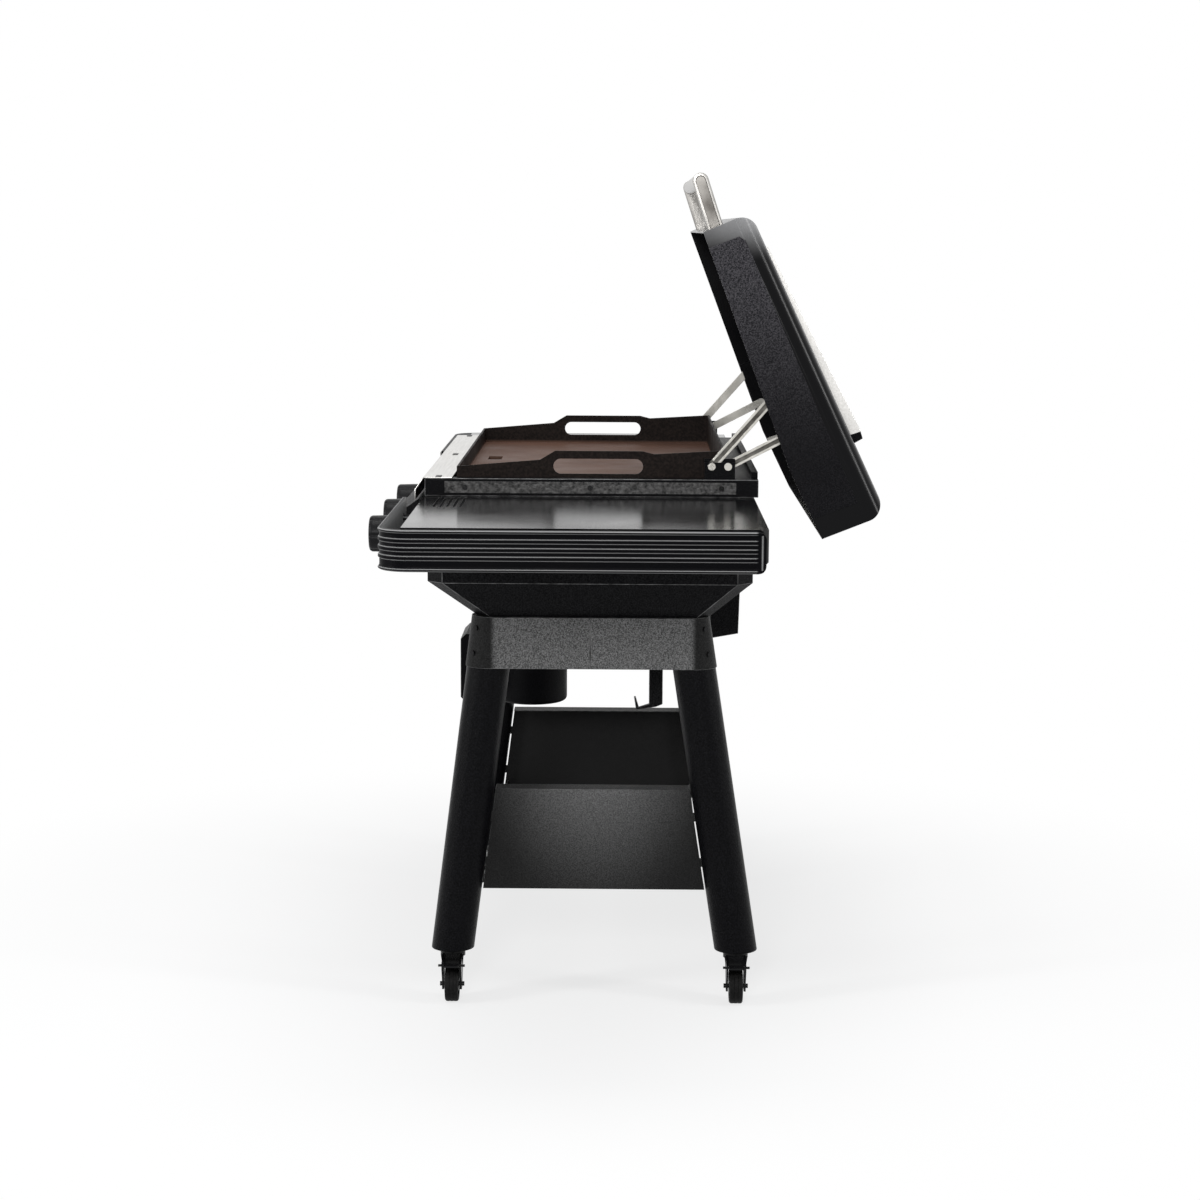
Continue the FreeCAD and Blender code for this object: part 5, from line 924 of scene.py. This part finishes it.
def paint_rib_highlights(item):
    """Painted highlight: how near a corner lies to a shoulder of a rib or a lip, where light sits.

    Each shoulder is a height and a share, and adds a narrow bell of 0.5 mm round that height. The
    sum fades out where the ribs end, and one more bell round a line 6 mm from the rear end joins
    the two lips.
    """
    mesh = item.data
    spots = np.zeros(len(mesh.vertices) * 3)
    mesh.vertices.foreach_get("co", spots)
    height = spots.reshape(-1, 3)[:, 2]
    left = RAIL_END - spots.reshape(-1, 3)[:, 1]
    painted_highlight = np.zeros(len(height))
    for shoulder, share in RAIL_SHOULDERS:
        painted_highlight += share * np.exp(-((height - shoulder) / BELL) ** 2)
    painted_highlight *= np.clip((left - RIBS_END) / HIGHLIGHT_FADE, 0, 1)
    between = (height > RAIL_LOW + LIP_ROOM) & (height < RAIL_HIGH - LIP_ROOM)
    painted_highlight += END_SHARE * between * np.exp(-((left - END_LINE) / END_BELL) ** 2)
    places = mesh.attributes.new("painted_highlight", "FLOAT", "POINT")
    places.data.foreach_set("value", np.clip(painted_highlight, 0, 1).astype(np.float32))


SHELF_EDGE_X, SIDE_SPACERS_Y, SIDE_SPACER_LENGTH = 0.9094, (-0.230, -0.008, 0.224), 0.0156
SHELF_EDGE_Y, FRONT_SPACERS_X, FRONT_SPACER_LENGTH = -0.290, (0.5105, 0.8294), 0.030
SPACER_Z = 0.8705
rail_coat = rail_finish()
for node, side in (("tool_rail_right", 1), ("tool_rail_left", -1)):
    parts = [rail_band(side)]
    parts += [spacer((side * SHELF_EDGE_X, y, SPACER_Z), (side, 0, 0), SIDE_SPACER_LENGTH)
              for y in SIDE_SPACERS_Y]
    parts += [spacer((side * x, SHELF_EDGE_Y, SPACER_Z), (0, -1, 0), FRONT_SPACER_LENGTH)
              for x in FRONT_SPACERS_X]
    made = make_piece(node + "_ribbed", parts, node, [rail_coat], crease=50)
    # Pale lines are painted along the rib and lip shoulders as highlights.
    paint_rib_highlights(made)
print("rail faces", len(made.data.polygons))

# %% [markdown]
# ## Lid handle
# A brushed bar as long as the lid's flat face is held by two end brackets. Each bracket is a thick
# plate with a round end, a proud border and a sunk middle. It is worked out as a stadium outline
# that shrinks inwards while it steps out and in along X.

# %% Handle
HANDLE_ALONG, HANDLE_RISE, BAR_HALF, BAR_RADIUS = -0.082, 0.028, 0.3565, 0.013
FOOT_ALONG, FOOT_RISE = 0.012, 0.0245


def handle_bar():
    """A circle of 13 mm round the bar's axis, from bracket to bracket, with flat ends."""
    angle = angles(64)
    steps = np.array([(-BAR_HALF, 0.0), (-BAR_HALF, BAR_RADIUS), (BAR_HALF, BAR_RADIUS),
                      (BAR_HALF, 0.0)])
    along = HANDLE_ALONG + steps[:, 1:] * np.cos(angle)
    rise = HANDLE_RISE + steps[:, 1:] * np.sin(angle)
    return lattice(lid_points(steps[:, :1], along, rise), wrap_columns=True)


def handle_bracket(side):
    """Outline points lie at a shrinking distance from the middle line, which runs up from the lid.

    The distance from the lid's face is held back so that the foot sits flat on it.
    """
    count = 96
    angle = angles(count)
    half = 0.0138
    steps = np.array([(half, 0.3560), (0.0016, 0.3560), (0.0004, 0.3564), (0.0, 0.3574),
                      (0.0, 0.3706), (0.0004, 0.3716), (0.0016, 0.3720), (0.0046, 0.3720),
                      (0.0054, 0.3714), (0.0060, 0.3698), (half, 0.3698)])
    reach = half - steps[:, :1]
    toward_tip = np.cos(angle) > 0
    middle_along = np.where(toward_tip, HANDLE_ALONG, FOOT_ALONG)
    middle_rise = np.where(toward_tip, HANDLE_RISE, FOOT_RISE)
    along = middle_along - reach * np.cos(angle)
    rise = middle_rise + reach * np.sin(angle)
    face = -0.003 * rise / 0.0896 - 0.0001
    along = np.minimum(along, face)
    points, quads, owners = lattice(lid_points(side * steps[:, 1:], along, rise), wrap_columns=True)
    # The second finish on the sunk middle is the darker steel, painted shade in the recess.
    owners.reshape(-1, count)[-2:] = 1    # the sunk middle takes the second finish
    return points, quads, owners


handle = make_piece("lid_handle_brushed", [handle_bar(), handle_bracket(1), handle_bracket(-1)],
                    "lid_handle", [handle_steel, sunk_shade_steel], crease=35)
print("handle faces", len(handle.data.polygons))

# %% [markdown]
# ## Which piece has which finish
# The solids that stay as they are, most of them hidden inside, take their finish from a short
# table. The solids that a new piece stands for are hidden, and get a plain one.

# %% Dress the solids
DRESS = {
    powder_coat: ["shelf_arms", "keg_rails"],
    leg_coat: ["leg_front_right", "leg_front_left", "leg_rear_right", "leg_rear_left"],
    dull_zinc: ["burners", "grease_chute"],
    brass: ["gas_manifold"],
    bare_ceramic: ["burner_igniters"],
    black_steel: ["caster_stems"],
}


def dress(item, material):
    """Give a piece one finish in place of those it came with."""
    item.data.materials.clear()
    item.data.materials.append(material)


for material, names in DRESS.items():
    for name in names:
        dress(nodes[name], material)
for name, item in nodes.items():
    if item.hide_render:
        dress(item, black_steel)
covered = {name for item in pieces.values() for name in item["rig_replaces"]}
left_bare = sorted(set(nodes) - covered - {name for names in DRESS.values() for name in names})
print("dressed", len(nodes) - len(left_bare), "left bare", left_bare)
